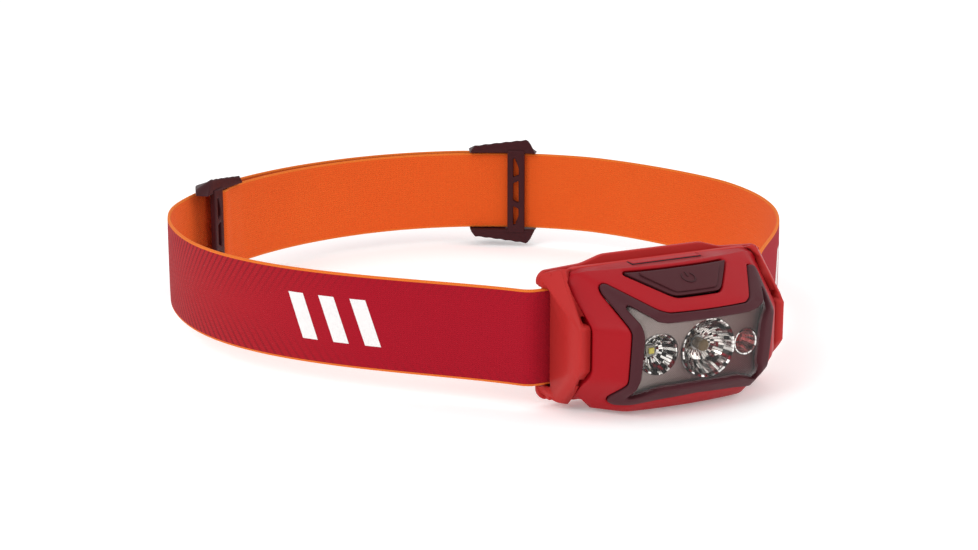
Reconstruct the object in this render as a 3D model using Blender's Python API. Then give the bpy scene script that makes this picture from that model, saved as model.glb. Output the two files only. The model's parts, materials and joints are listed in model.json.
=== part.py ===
"""Headlamp: a tilting lamp on a bracket, threaded on an elastic head strap with two sliding adjusters.

Run with:  blender --background --python part.py

Frame: the origin is the centre of the bracket's flat back face, which rests on the forehead.
+Y points to the head, the beam points along -Y, +Z is up. Dimensions below are in millimetres;
metres() turns them into Blender's metres.
"""
import math

import bmesh
import bpy
from mathutils import Matrix, Vector
from mathutils.geometry import delaunay_2d_cdt

MM = 0.001

# --- strap ---------------------------------------------------------------------------------------
STRAP_WIDTH = 25.0
STRAP_THICK = 1.6
STRAP_Y = -2.6                 # centre plane of the strap where it lies flat behind the lamp
STRAP_EXIT_X = {"left": 36.0, "right": 33.0}       # the strap bends back here, outside the bracket's slots
# Round the back of the head both layers follow two arcs, one for each adjuster. Angles are in degrees,
# 0 is straight back, and the arcs run into each other at ARC_JOIN.
ARC_CENTRE = {"left": (0.369, 71.268), "right": (-1.2, 89.2)}
ARC_RADIUS = {"left": 98.0, "right": 80.0}         # inner layer, centre line
ARC_JOIN = -5.0
ARC_END = {"left": -52.0, "right": 50.0}
LAYER_STEP = 4.2               # the outer layer runs this far behind the inner one
STRAP_STEP = 7.0               # length of one facet along the strap

# --- adjusters -----------------------------------------------------------------------------------
ADJUSTER_ANGLE = {"left": -44.1, "right": 34.1}
ADJUSTER_IN = {"left": 10.0, "right": 14.0}        # travel toward the middle of the back, degrees
TAIL_LENGTH = 17.0             # strap end held by an adjuster, from the adjuster's ladder bar
FREE_GAP = 1.0                 # left between a strap end and the layer it meets at full travel
FLANGE_DEPTH = (-2.4, 6.2)     # of an adjuster's flanges, measured out from the inner layer

# --- lamp ----------------------------------------------------------------------------------------
HALF_WIDTH = 26.9              # lamp body, at the ears
HALF_HEIGHT = 17.6
WALL = 1.2
BODY_REAR_Y = -5.6
BLEND = 0.5                    # rounding of the lamp's facets into one another
GAP = 0.3                      # clearance between neighbouring pieces

# --- hinge at the bottom of the bracket, shared by the battery case and the lamp head ------------
HINGE_Y, HINGE_Z = -7.4, -16.2
BARREL_R = 1.7
PIN_R = 0.8
PIN_HOLE_R = 1.1

# --- batteries -----------------------------------------------------------------------------------
CELL_R = 4.95
CELL_BODY = 43.4
CELL_NUB = 1.0
CELL_Y = -11.9
CELL_HEIGHTS = {"bottom": -10.7, "middle": -0.75, "top": 9.2}
CASE_PLATE = 1.0

# --- optics: x, z and front radius ---------------------------------------------------------------
SPOT = (1.8, -1.2, 7.2)
FLOOD = (-11.9, -1.4, 4.9)
RED = (13.3, -1.4, 3.0)
SCREW_X, SCREW_Z = 20.6, 4.5   # the board's two screws

# --- button: it slides square to the lamp's sloping top ------------------------------------------
TOP_SLOPE = 0.4377
PRESS = Vector((0.0, TOP_SLOPE, -1.0)).normalized()
STEM_FOOT = Vector((0.0, -21.93, 13.0))      # where the button's axis meets the sloping top
SWITCH_DEPTH = 3.6                           # top of the tact switch's case, along that axis

# Half outlines, as (x, z) seen from the front, from the top middle to the bottom middle.
BODY_OUTLINE = [(0, 17.6), (12, 17.6), (23.5, 17.3), (26.6, 16.6), (28.2, 14.8), (28.2, 12.4), (27.2, 7.5),
                (26.9, 5.0), (26.9, -6.0), (27.6, -10.0), (27.6, -14.0), (26.6, -16.6), (24.0, -17.6),
                (12, -17.6), (0, -17.6)]
FRAME_OUTER = [(0, 9.7), (11.2, 9.7), (13.4, 10.3), (21.2, 15.1), (22.6, 14.6), (22.8, 13.2), (20.6, 6.4),
               (20.3, 5.0), (20.2, -8.0), (21.9, -12.9), (21.6, -14.3), (20.2, -15.1), (11.0, -13.6),
               (0, -12.9)]
WINDOW = [(0, 7.5), (11.6, 7.4), (14.2, 8.0), (19.3, 11.4), (19.9, 10.6), (17.6, 5.4), (17.2, 3.5),
          (17.2, -7.0), (19.0, -12.6), (18.4, -13.1), (12.0, -10.4), (0, -10.0)]
BUTTON = [(0, 17.0), (14.6, 16.9), (15.3, 16.3), (7.6, 12.4), (6.2, 12.0), (0, 12.0)]


# --- small helpers -------------------------------------------------------------------------------

def metres(x, y, z):
    return Vector((x * MM, y * MM, z * MM))


def from_front(x, z, y):
    return metres(x, y, z)


def from_side(y, z, x):
    return metres(x, y, z)


def clear_scene():
    for obj in list(bpy.data.objects):
        bpy.data.objects.remove(obj, do_unlink=True)


def material(name, colour, roughness, metallic=0.0, alpha=1.0):
    mat = bpy.data.materials.new(name)
    mat.use_nodes = True
    shader = mat.node_tree.nodes["Principled BSDF"]
    shader.inputs["Base Color"].default_value = (*colour, 1.0)
    shader.inputs["Roughness"].default_value = roughness
    shader.inputs["Metallic"].default_value = metallic
    shader.inputs["Alpha"].default_value = alpha
    mat.diffuse_color = (*colour, alpha)
    return mat


def add_object(name, bm, mat=None, smooth=False):
    bmesh.ops.recalc_face_normals(bm, faces=bm.faces)
    mesh = bpy.data.meshes.new(name)
    bm.to_mesh(mesh)
    bm.free()
    obj = bpy.data.objects.new(name, mesh)
    bpy.context.collection.objects.link(obj)
    if mat is not None:
        mesh.materials.append(mat)
    if smooth:
        mesh.shade_smooth()
        mesh.set_sharp_from_angle(angle=math.radians(35))
    return obj


def combine(obj, tool, operation):
    """Join or cut obj with tool by a Boolean, keep the result as obj's mesh, and drop the tool."""
    modifier = obj.modifiers.new("combine", "BOOLEAN")
    modifier.operation = operation
    modifier.solver = "EXACT"
    modifier.object = tool
    bpy.context.view_layer.update()
    evaluated = obj.evaluated_get(bpy.context.evaluated_depsgraph_get())
    result = bpy.data.meshes.new_from_object(evaluated)
    obj.modifiers.clear()
    obj.data = result
    bpy.data.objects.remove(tool, do_unlink=True)


def join(obj, *tools):
    for tool in tools:
        combine(obj, tool, "UNION")


def cut(obj, *tools):
    for tool in tools:
        combine(obj, tool, "DIFFERENCE")


def mirrored(half):
    """A closed symmetrical outline from its right half, which runs from the top middle down."""
    left = [(-x, z) for x, z in reversed(half) if x > 0]
    return list(half) + left


def offset_outline(points, distance):
    """Move an outline outward by a distance, or inward if the distance is negative."""
    count = len(points)
    area = sum(points[i][0] * points[(i + 1) % count][1] - points[(i + 1) % count][0] * points[i][1]
               for i in range(count))
    turn = 1.0 if area > 0 else -1.0
    moved = []
    for i in range(count):
        before = Vector(points[i]) - Vector(points[i - 1])
        after = Vector(points[(i + 1) % count]) - Vector(points[i])
        normals = [Vector((edge.y, -edge.x)).normalized() * turn for edge in (before, after)]
        bisector = (normals[0] + normals[1]).normalized()
        stretch = min(1.0 / max(bisector.dot(normals[0]), 0.3), 2.0)
        moved.append(tuple(Vector(points[i]) + bisector * distance * stretch))
    return moved


def dense(points, step):
    """Add points so that no edge of a closed outline is longer than step."""
    result = []
    for i, start in enumerate(points):
        end = points[(i + 1) % len(points)]
        pieces = max(1, math.ceil(math.dist(start, end) / step - 1e-6))
        for k in range(pieces):
            result.append((start[0] + (end[0] - start[0]) * k / pieces,
                           start[1] + (end[1] - start[1]) * k / pieces))
    return result


def circle(x, z, radius, sides=24):
    return [(x + radius * math.cos(2 * math.pi * k / sides), z + radius * math.sin(2 * math.pi * k / sides))
            for k in range(sides)]


def inside(point, outline):
    crossings = 0
    for i, (ax, ay) in enumerate(outline):
        bx, by = outline[(i + 1) % len(outline)]
        if (ay > point[1]) != (by > point[1]) and point[0] < (bx - ax) * (point[1] - ay) / (by - ay) + ax:
            crossings += 1
    return crossings % 2 == 1


def triangulate(outer, holes, spacing):
    """Triangles of a flat region with holes. Interior points lie on a grid, spacing apart."""
    loops = [outer] + list(holes)
    points = [Vector(p) for loop in loops for p in loop]
    edges = []
    loop_indices = []
    start = 0
    for loop in loops:
        indices = list(range(start, start + len(loop)))
        loop_indices.append(indices)
        edges += [(indices[k - 1], indices[k]) for k in range(len(indices))]
        start += len(loop)
    if spacing:
        low_u, high_u = min(p[0] for p in outer), max(p[0] for p in outer)
        low_v, high_v = min(p[1] for p in outer), max(p[1] for p in outer)
        columns = int((high_u - low_u) / spacing)
        rows = int((high_v - low_v) / spacing)
        for i in range(columns + 1):
            for j in range(rows + 1):
                point = ((low_u + high_u) / 2 + (i - columns / 2) * spacing,
                         (low_v + high_v) / 2 + (j - rows / 2) * spacing)
                clear = all(min(math.dist(point, p) for p in loop) > spacing * 0.45 for loop in loops)
                if clear and inside(point, outer) and not any(inside(point, hole) for hole in holes):
                    points.append(Vector(point))
    vertices, _, faces, *_ = delaunay_2d_cdt(points, edges, [], 0, 1e-5)
    placed = [[tuple(vertices[i]) for i in indices] for indices in loop_indices]
    kept = []
    for face in faces:
        middle = [sum(vertices[i][axis] for i in face) / len(face) for axis in (0, 1)]
        if inside(middle, placed[0]) and not any(inside(middle, hole) for hole in placed[1:]):
            kept.append(face)
    return vertices, kept, loop_indices


def solid_region(outer, holes, low, high, place, spacing=None, rear=None):
    """A closed solid over a flat region: place(u, v, w) puts a point at depth w between low and high.

    With rear, the outer edge is carried back as a skirt to the points rear(u, v, w).
    """
    vertices, faces, loops = triangulate(outer, holes, spacing)
    bm = bmesh.new()
    top = [bm.verts.new(place(p.x, p.y, low)) for p in vertices]
    bottom = [bm.verts.new(place(p.x, p.y, high)) for p in vertices]
    for face in faces:
        bm.faces.new([top[i] for i in face])
        bm.faces.new([bottom[i] for i in reversed(face)])
    rings = [(top, bottom, loops[k]) for k in range(len(loops))]
    if rear:
        rear_top = {i: bm.verts.new(rear(vertices[i].x, vertices[i].y, low)) for i in loops[0]}
        rear_bottom = {i: bm.verts.new(rear(vertices[i].x, vertices[i].y, high)) for i in loops[0]}
        rings[0] = (top, rear_top, loops[0])
        rings += [(rear_top, rear_bottom, loops[0]), (rear_bottom, bottom, loops[0])]
    for first, second, loop in rings:
        for k in range(len(loop)):
            a, b = loop[k - 1], loop[k]
            bm.faces.new((first[a], first[b], second[b], second[a]))
    return bm


def box(x, y, z, name="box"):
    """An axis-aligned box from three (low, high) pairs."""
    bm = bmesh.new()
    bmesh.ops.create_cube(bm, size=1.0)
    for vert in bm.verts:
        vert.co = metres(x[0] if vert.co.x < 0 else x[1], y[0] if vert.co.y < 0 else y[1],
                         z[0] if vert.co.z < 0 else z[1])
    return add_object(name, bm)


def turned(profile, name, frame, mat=None, sides=24):
    """A body of revolution. profile holds (radius, distance along the axis); frame places it."""
    bm = bmesh.new()
    rings = []
    for radius, along in profile:
        if radius == 0:
            rings.append([bm.verts.new(frame @ metres(0, 0, along))])
            continue
        ring = []
        for k in range(sides):
            turn = 2 * math.pi * k / sides
            point = metres(radius * math.cos(turn), radius * math.sin(turn), along)
            ring.append(bm.verts.new(frame @ point))
        rings.append(ring)
    pairs = list(zip(rings, rings[1:]))
    if profile[0][0] != 0:
        pairs.append((rings[-1], rings[0]))
    for first, second in pairs:
        for k in range(sides):
            if len(first) == 1:
                bm.faces.new((first[0], second[k], second[k - 1]))
            elif len(second) == 1:
                bm.faces.new((first[k - 1], first[k], second[0]))
            else:
                bm.faces.new((first[k - 1], first[k], second[k], second[k - 1]))
    return add_object(name, bm, mat, smooth=True)


def along_x(y, z):
    """Local +Z points along +X."""
    return Matrix.Translation(metres(0, y, z)) @ Matrix.Rotation(math.pi / 2, 4, "Y")


def along_beam(x, y, z):
    """Local +Z points along the beam, -Y."""
    return Matrix.Translation(metres(x, y, z)) @ Matrix.Rotation(math.pi / 2, 4, "X")


def along_press(depth):
    """Local +Z points out of the button; the origin is depth below the sloping top."""
    origin = STEM_FOOT + PRESS * depth
    return Matrix.Translation(metres(*origin)) @ (-PRESS).to_track_quat("Z", "Y").to_matrix().to_4x4()


def rod(radius, start, end, frame_at, name="rod", mat=None, sides=16, bore=None):
    if bore:
        profile = [(bore, start), (radius, start), (radius, end), (bore, end)]
    else:
        profile = [(0, start), (radius, start), (radius, end), (0, end)]
    return turned(profile, name, frame_at, mat, sides)


def hull(points, name="hull"):
    bm = bmesh.new()
    for point in points:
        bm.verts.new(metres(*point))
    result = bmesh.ops.convex_hull(bm, input=bm.verts)
    leftover = [v for v in result["geom_interior"] if isinstance(v, bmesh.types.BMVert)]
    bmesh.ops.delete(bm, geom=leftover, context="VERTS")
    return add_object(name, bm)


# --- the lamp's outer surface --------------------------------------------------------------------

def front_surface(x, z):
    """Depth y of the lamp's front over (x, z): six facets, blended where they meet."""
    wide = abs(x)
    facets = [-29.45 + 0.0062 * x * x + 0.14 * (7.3 - z),          # window and face
              (z - 22.6 + 0.0035 * x * x) / TOP_SLOPE,             # sloping top with the button
              -18.0 - (26.9 - wide) * 1.318,                       # side
              -62.2 + 1.4245 * wide + 1.118 * z,                   # upper cheek
              -36.8 - z + 0.0047 * x * x,                          # chin
              -58.0 + 1.169 * wide - 1.1413 * z]                   # lower cheek
    nearest = max(facets)
    return nearest + BLEND * math.log(sum(math.exp((facet - nearest) / BLEND) for facet in facets))


def on_lamp(x, z, depth):
    """The point at a depth under the lamp's outer surface at (x, z)."""
    y = min(front_surface(x, z), BODY_REAR_Y - 1.2) + 1.07 * depth
    return metres(x * (HALF_WIDTH - depth) / HALF_WIDTH, y, z * (HALF_HEIGHT - depth) / HALF_HEIGHT)


def on_lamp_rear(x, z, depth):
    point = on_lamp(x, z, depth)
    return Vector((point.x, BODY_REAR_Y * MM, point.z))


def under_window(x, z, depth):
    """As on_lamp, but straight back along the beam, so that round holes stay round."""
    return metres(x, front_surface(x, z) + 1.07 * depth, z)


def lamp_piece(name, outline, holes, low, high, mat, spacing, step):
    holes = [dense(hole, step) for hole in holes]
    bm = solid_region(dense(outline, step), holes, low, high, on_lamp, spacing)
    return add_object(name, bm, mat, smooth=True)


# --- bracket and strap ---------------------------------------------------------------------------

def build_bracket(mat):
    plate = [(0, 19.0), (15.5, 19.0), (20.5, 17.2), (31.5, 16.6), (33.0, 15.0), (33.0, 12.9), (31.4, 12.9),
             (31.4, -12.9), (33.0, -12.9), (33.0, -15.0), (31.5, -16.9), (0, -16.9)]
    bm = solid_region(mirrored(plate), [], -1.5, 0.0, from_front)
    bracket = add_object("bracket", bm)
    wall = box((-27.0, 27.0), (-5.2, -3.7), (-16.9, 17.5))
    rib_y = (-4.0, -1.2)
    top_rib = box((-31.0, 31.0), rib_y, (12.9, 16.5))
    bottom_rib = box((-31.0, 31.0), rib_y, (-16.6, -12.9))
    join(bracket, wall, top_rib, bottom_rib)
    ear_shape = [(23.0, -3.9, 16.6), (23.0, -4.8, 16.8), (28.5, -5.6, 17.8), (32.3, -1.2, 16.0),
                 (33.0, -1.2, 14.0), (33.0, -1.2, -13.4), (32.3, -1.2, -14.9), (29.0, -1.2, 16.4),
                 (29.0, -1.2, -16.2), (29.6, -5.4, -16.9), (23.0, -3.9, -16.4), (23.0, -4.8, -16.5),
                 (30.0, -17.6, 5.2), (30.0, -17.6, -5.2), (26.4, -17.9, 5.4), (26.4, -17.9, -5.4),
                 (27.6, -15.8, 7.4), (28.0, -13.3, -10.7), (27.4, -8.5, -16.9)]
    # below the lamp's widest corners the room goes straight down, so that they can swing past the ears
    body_room = offset_outline(mirrored(BODY_OUTLINE[:11] + [(27.6, -21.0), (0, -21.0)]), GAP + 0.05)
    for side in (1, -1):
        ear = hull([(side * x, y, z) for x, y, z in ear_shape])
        room = add_object("room", solid_region(body_room, [], -40.0, -4.9, from_front))
        channel = box((20.0, 34.0) if side > 0 else (-34.0, -20.0), (-3.7, 0.0), (-12.9, 12.9))
        slot = box((29.6, 34.0) if side > 0 else (-34.0, -29.6), (-6.2, 0.0), (-12.9, 12.9))
        cut(ear, room, channel, slot)
        for z, half in ((6.9, 1.0), (-9.2, 1.1)):
            notch = box((26.0, 28.6) if side > 0 else (-28.6, -26.0), (-17.4, -13.4), (z - half, z + half))
            cut(ear, notch)
        join(bracket, ear)
        lug_x = sorted((side * 18.0, side * 21.8))
        lug = rod(BARREL_R, lug_x[0], lug_x[1], along_x(HINGE_Y, HINGE_Z))
        join(lug, box((lug_x[0] + 0.2, lug_x[1] - 0.2), (HINGE_Y, -4.4), (HINGE_Z - 1.35, HINGE_Z + 1.35)))
        cut(lug, pin_bore(*lug_x))
        join(bracket, lug)
    cut(bracket, box((-4.0, 4.0), (-6.0, -4.3), (-18.0, -8.6)))
    bracket.data.materials.append(mat)
    return bracket


def bezier(p0, p1, p2, p3, count):
    points = []
    for k in range(1, count + 1):
        t = k / count
        points.append((1 - t) ** 3 * p0 + 3 * (1 - t) ** 2 * t * p1 + 3 * (1 - t) * t * t * p2 + t ** 3 * p3)
    return points


def rear_point(side, angle, outward):
    """A point on one side's rear arc, at a distance outward from the inner layer's centre line."""
    turn = math.radians(angle)
    radius = ARC_RADIUS[side] + outward
    return Vector(ARC_CENTRE[side]) + Vector((math.sin(turn), math.cos(turn))) * radius


def side_path(side, exit_angle, widest, handles, outward):
    """The strap from the bracket's slot round one side of the head to the end of the rear arc."""
    sign = 1 if side == "right" else -1
    start = Vector((sign * STRAP_EXIT_X[side], STRAP_Y))
    turn = math.radians(exit_angle)
    heading = Vector((sign * math.cos(turn), math.sin(turn)))
    widest = Vector(widest)
    back = Vector((0.0, 1.0))
    end = rear_point(side, ARC_END[side], outward)
    end_turn = math.radians(ARC_END[side])
    tangent = Vector((-sign * math.cos(end_turn), sign * math.sin(end_turn)))
    near, far = int(100 / STRAP_STEP), int(80 / STRAP_STEP)
    front = bezier(start, start + heading * handles[0], widest - back * handles[1], widest, near)
    rear = bezier(widest, widest + back * handles[2], end - tangent * handles[3], end, far)
    return [start] + front + rear


def arc_points(side, first, last, outward):
    count = max(2, math.ceil(abs(math.radians(last - first)) * ARC_RADIUS[side] / STRAP_STEP))
    return [rear_point(side, first + (last - first) * k / count, outward) for k in range(count + 1)]


def strap_path():
    """The strap's centre line: from the inner layer's free end, round the head, to the outer layer's end."""
    tail = {side: math.degrees((TAIL_LENGTH + FREE_GAP) / radius) for side, radius in ARC_RADIUS.items()}
    inner_start = ADJUSTER_ANGLE["left"] + ADJUSTER_IN["left"] + tail["left"]
    outer_end = ADJUSTER_ANGLE["right"] - ADJUSTER_IN["right"] - tail["right"]
    right = side_path("right", 65.3, (80.0, 84.0), (18.3, 49.1, 14.7, 14.8), 0.0)
    left = side_path("left", 52.6, (-93.3, 89.0), (28.4, 43.9, 11.1, 17.6), LAYER_STEP)
    inner = arc_points("left", inner_start, ARC_JOIN, 0.0)
    inner += arc_points("right", ARC_JOIN, ARC_END["right"], 0.0)[1:-1]
    outer = arc_points("left", ARC_END["left"], ARC_JOIN, LAYER_STEP)[1:]
    outer += arc_points("right", ARC_JOIN, outer_end, LAYER_STEP)[1:]
    return inner + list(reversed(right)) + left + outer


def ribbon(path, name, mat):
    """A flat band of the strap's section, swept along a level path."""
    bm = bmesh.new()
    sections = []
    for k, point in enumerate(path):
        ahead = path[min(k + 1, len(path) - 1)] - path[max(k - 1, 0)]
        side = Vector((ahead.y, -ahead.x)).normalized() * STRAP_THICK / 2
        corners = [(point + side, -1), (point + side, 1), (point - side, 1), (point - side, -1)]
        sections.append([bm.verts.new(metres(p.x, p.y, end * STRAP_WIDTH / 2)) for p, end in corners])
    for first, second in zip(sections, sections[1:]):
        for k in range(4):
            bm.faces.new((first[k - 1], first[k], second[k], second[k - 1]))
    bm.faces.new(sections[0])
    bm.faces.new(reversed(sections[-1]))
    return add_object(name, bm, mat, smooth=True)


# --- adjusters -----------------------------------------------------------------------------------

def at_adjuster(side, inward, outward, z):
    """A point by its distance along the strap toward the back's middle, its distance out, and its height."""
    angle = ADJUSTER_ANGLE[side] + (1 if side == "left" else -1) * math.degrees(inward / ARC_RADIUS[side])
    point = rear_point(side, angle, outward)
    return metres(point.x, point.y, z)


def slab(side, inward, outward, z):
    """A block bent round the rear arc."""
    outline = dense([(inward[0], outward[0]), (inward[1], outward[0]), (inward[1], outward[1]),
                     (inward[0], outward[1])], 6.0)
    bm = solid_region(outline, [], z[0], z[1], lambda u, v, w: at_adjuster(side, u, v, w))
    return add_object("slab", bm)


def flange_point(side, inward, z, outward):
    """A point of an adjuster's flange, which gets lower away from the head and shallow at its outer end."""
    foot = math.copysign(STRAP_WIDTH / 2 + 0.4, z)
    height = (z - foot) * (1.0 - 0.75 * (outward - FLANGE_DEPTH[0]) / (FLANGE_DEPTH[1] - FLANGE_DEPTH[0]))
    if outward > 0:
        outward *= min(1.0, 0.25 + max(0.0, inward + 6.5) / 12.0)
    return at_adjuster(side, inward, outward, foot + height)


def build_adjuster(side, mat):
    half = STRAP_WIDTH / 2 + 0.4
    windows = [[(-1.0, z - 2.9), (1.0, z - 2.9), (1.0, z + 2.9), (-1.0, z + 2.9)] for z in (-8.2, 0.0, 8.2)]
    bar = [(-2.9, -half - 1.0), (2.9, -half - 1.0), (2.9, half + 1.0), (-2.9, half + 1.0)]
    adjuster = add_object("adjuster_" + side, solid_region(
        bar, windows, -2.9, -1.3, lambda t, z, r: at_adjuster(side, t, r, z)))
    for sign in (1, -1):
        flange = [(-6.5, half), (-5.2, half + 3.4), (-2.9, half + 4.7), (2.5, half + 4.4), (9.0, half + 3.5),
                  (14.0, half + 2.6), (15.6, half + 1.0), (15.6, half)]
        outline = dense([(t, sign * z) for t, z in flange], 6.0)
        join(adjuster, add_object("flange", solid_region(
            outline, [], *FLANGE_DEPTH, lambda t, z, r: flange_point(side, t, z, r))))
    level = 0.0 if side == "left" else LAYER_STEP
    join(adjuster, slab(side, (5.2, 6.8), (level - 0.8, level + 0.8), (-half - 1, half + 1)))
    if side == "left":
        join(adjuster, slab(side, (2.8, 4.8), (LAYER_STEP + 1.1, LAYER_STEP + 2.0), (-half - 0.6, half + 0.6)))
    adjuster.data.materials.append(mat)
    return adjuster


def build_strap_end(side, mat):
    """The strap's end, folded round the adjuster's anchor bar and sewn to itself."""
    level = 0.0 if side == "left" else LAYER_STEP
    half = STRAP_THICK / 2
    fold = [(3.3, -1.9), (3.9, -2.7), (12.0, -2.7), (12.0, -half), (TAIL_LENGTH, -half), (TAIL_LENGTH, half),
            (12.0, half), (12.0, 2.7), (3.9, 2.7), (3.3, 1.9)]
    eye = [(4.9, -1.1), (7.1, -1.1), (7.1, 1.1), (4.9, 1.1)]
    bm = solid_region(dense(fold, 6.0), [eye], -STRAP_WIDTH / 2, STRAP_WIDTH / 2,
                      lambda t, r, z: at_adjuster(side, t, r + level, z))
    return add_object("strap_end_" + side, bm, mat)


# --- hinge ---------------------------------------------------------------------------------------

def build_hinge_pin(mat):
    return rod(PIN_R, -21.6, 21.6, along_x(HINGE_Y, HINGE_Z), "hinge_pin", mat)


def build_detent_spring(mat):
    """A bent steel leaf, fixed in the bracket, that drops into the battery case's ratchet."""
    outline = [(-4.7, -9.0), (-5.0, -9.0), (-5.0, -15.2), (-5.4, -16.2), (-5.0, -16.8), (-4.7, -16.8),
               (-5.05, -16.2), (-4.7, -15.2)]
    bm = solid_region(outline, [], -3.0, 3.0, from_side)
    return add_object("detent_spring", bm, mat)


def pin_bore(low, high):
    """A cutter for the hinge bore, turned a little so that its corners miss those of the barrels."""
    frame = along_x(HINGE_Y, HINGE_Z) @ Matrix.Rotation(math.radians(7), 4, "Z")
    return rod(PIN_HOLE_R, low - 1, high + 1, frame)


def knuckle(x, arm_y, arm_z):
    """A hinge barrel between two x values, with an arm to the piece that it belongs to."""
    low, high = sorted(x)
    barrel = rod(BARREL_R, low, high, along_x(HINGE_Y, HINGE_Z))
    join(barrel, box((low + 0.2, high - 0.2), arm_y, arm_z))
    cut(barrel, pin_bore(low, high))
    return barrel


# --- battery case --------------------------------------------------------------------------------

def build_battery_case(mat):
    plate = [(0, 15.2), (21.0, 15.2), (24.8, 13.2), (24.8, -12.5), (23.0, -14.2), (0, -14.2)]
    bm = solid_region(mirrored(plate), [], BODY_REAR_Y - CASE_PLATE, BODY_REAR_Y, from_front)
    case = add_object("battery_case", bm)
    end_outline = [(-6.2, 12.0), (-8.0, 11.6), (-15.5, 4.8), (-15.5, -7.0), (-9.5, -12.3), (-6.2, -12.3)]
    for side in (1, -1):
        low, high = sorted((side * 23.9, side * 24.7))
        end_wall = add_object("end_wall", solid_region(end_outline, [], low, high, from_side))
        hinge = knuckle((side * 6.5, side * 11.8), (-6.5, -5.7), (-16.3, -13.8))
        join(case, end_wall, hinge)
    ratchet = build_ratchet()
    latch = box((-10.0, 10.0), (-8.6, BODY_REAR_Y - 0.1), (14.9, HALF_HEIGHT))
    join(case, ratchet, latch)
    case.data.materials.append(mat)
    return case


def build_ratchet():
    """The toothed barrel that the detent spring holds."""
    teeth = 12
    outline = []
    for k in range(teeth * 2):
        radius = BARREL_R if k % 2 else BARREL_R - 0.3
        turn = math.pi * k / teeth
        outline.append((HINGE_Y + radius * math.cos(turn), HINGE_Z + radius * math.sin(turn)))
    ratchet = add_object("ratchet", solid_region(outline, [], -3.5, 3.5, from_side))
    join(ratchet, box((-3.4, 3.4), (-6.5, -5.75), (-15.6, -13.8)))
    cut(ratchet, pin_bore(-3.5, 3.5))
    return ratchet


def cell_profile(clearance):
    """A cell's can without its nub, or the room for one."""
    radius, end, corner = CELL_R + clearance, CELL_BODY / 2 + clearance / 2, 0.5
    return [(0, -end), (radius - corner, -end), (radius, corner - end), (radius, end - corner),
            (radius - corner, end), (0, end)]


def build_cell(row, direction, mat):
    """A AAA cell; direction is +1 where its positive end points to +X."""
    z = CELL_HEIGHTS[row]
    end = CELL_BODY / 2
    profile = cell_profile(0.0)[:-1] + [(1.9, end), (1.9, end + CELL_NUB), (0, end + CELL_NUB)]
    frame = along_x(CELL_Y, z)
    if direction < 0:
        frame = frame @ Matrix.Rotation(math.pi, 4, "X")
    return turned(profile, "battery_cell_" + row, frame, mat, sides=24)


def build_contact_spring(row, direction, mat):
    """The coil against a cell's negative end."""
    z = CELL_HEIGHTS[row]
    turns, steps, wire_sides, wire = 2, 12, 5, 0.18
    inner_x, outer_x = 22.05, 22.6
    bm = bmesh.new()
    rings = []
    for k in range(turns * steps + 1):
        t = k / (turns * steps)
        turn = 2 * math.pi * k / steps
        radius = 0.9 + 0.8 * t
        x = -direction * (inner_x + (outer_x - inner_x) * t)
        out = Vector((0, math.cos(turn), math.sin(turn)))
        middle = Vector((x, CELL_Y, z)) + out * radius
        ring = []
        for j in range(wire_sides):
            a = 2 * math.pi * j / wire_sides
            point = middle + out * wire * math.cos(a) + Vector((1, 0, 0)) * wire * math.sin(a)
            ring.append(bm.verts.new(metres(*point)))
        rings.append(ring)
    for first, second in zip(rings, rings[1:]):
        for j in range(wire_sides):
            bm.faces.new((first[j - 1], first[j], second[j], second[j - 1]))
    bm.faces.new(rings[0])
    bm.faces.new(reversed(rings[-1]))
    return add_object("contact_spring_" + row, bm, mat, smooth=True)


def build_contact_plate(side, mat):
    sign = 1 if side == "right" else -1
    outline = [(-8.0, 11.3), (-10.5, 11.3), (-14.6, 7.4), (-14.6, -8.5), (-10.5, -12.8), (-8.0, -12.8)]
    low, high = sorted((sign * 23.0, sign * 23.4))
    return add_object("contact_plate_" + side, solid_region(
        outline, [], low, high, from_side), mat)


# --- lamp head -----------------------------------------------------------------------------------

def build_front_housing(mat):
    opening = offset_outline(mirrored(FRAME_OUTER), GAP)
    button_hole = mirrored(BUTTON)
    bm = solid_region(dense(mirrored(BODY_OUTLINE), 6.0), [dense(opening, 4.0), dense(button_hole, 5.0)],
                      0.0, WALL, on_lamp, spacing=3.6, rear=on_lamp_rear)
    housing = add_object("front_housing", bm)
    cut(housing, box((-10.3, 10.3), (-8.9, -4.0), (14.0, 20.0)),
        box((-30.0, 30.0), (-11.0, -4.0), (-20.0, -14.9)))
    for z in CELL_HEIGHTS.values():
        cut(housing, turned(cell_profile(GAP), "pocket", along_x(CELL_Y, z)))
    for side in (1, -1):
        hinge = knuckle((side * 12.4, side * 17.4), (-12.5, -7.9), (-17.4, -16.1))
        boss = rod(1.7, 0.0, 4.6, along_beam(side * SCREW_X, -19.4, SCREW_Z), bore=0.75)
        join(housing, hinge, boss)
    housing.data.materials.append(mat)
    housing.data.shade_smooth()
    housing.data.set_sharp_from_angle(angle=math.radians(35))
    return housing


def build_bezel(mat):
    return lamp_piece("window_bezel", mirrored(FRAME_OUTER), [mirrored(WINDOW)], -0.8, 0.2, mat, 4.0, 5.0)


def build_lens(mat):
    return lamp_piece("window_lens", offset_outline(mirrored(WINDOW), 0.5), [], 0.6, 1.3, mat, 4.0, 5.0)


def build_reflector_panel(mat):
    holes = [circle(x, z, radius + 0.25, 20) for x, z, radius in (SPOT, FLOOD, RED)]
    outline = mirrored([(0, 7.4), (12.0, 7.4), (16.6, 6.6), (17.5, 3.0), (17.5, -7.0), (16.4, -9.4),
                        (0, -9.6)])
    bm = solid_region(dense(outline, 5.0), holes, 2.8, 3.4, under_window)
    return add_object("reflector_panel", bm, mat)


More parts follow.
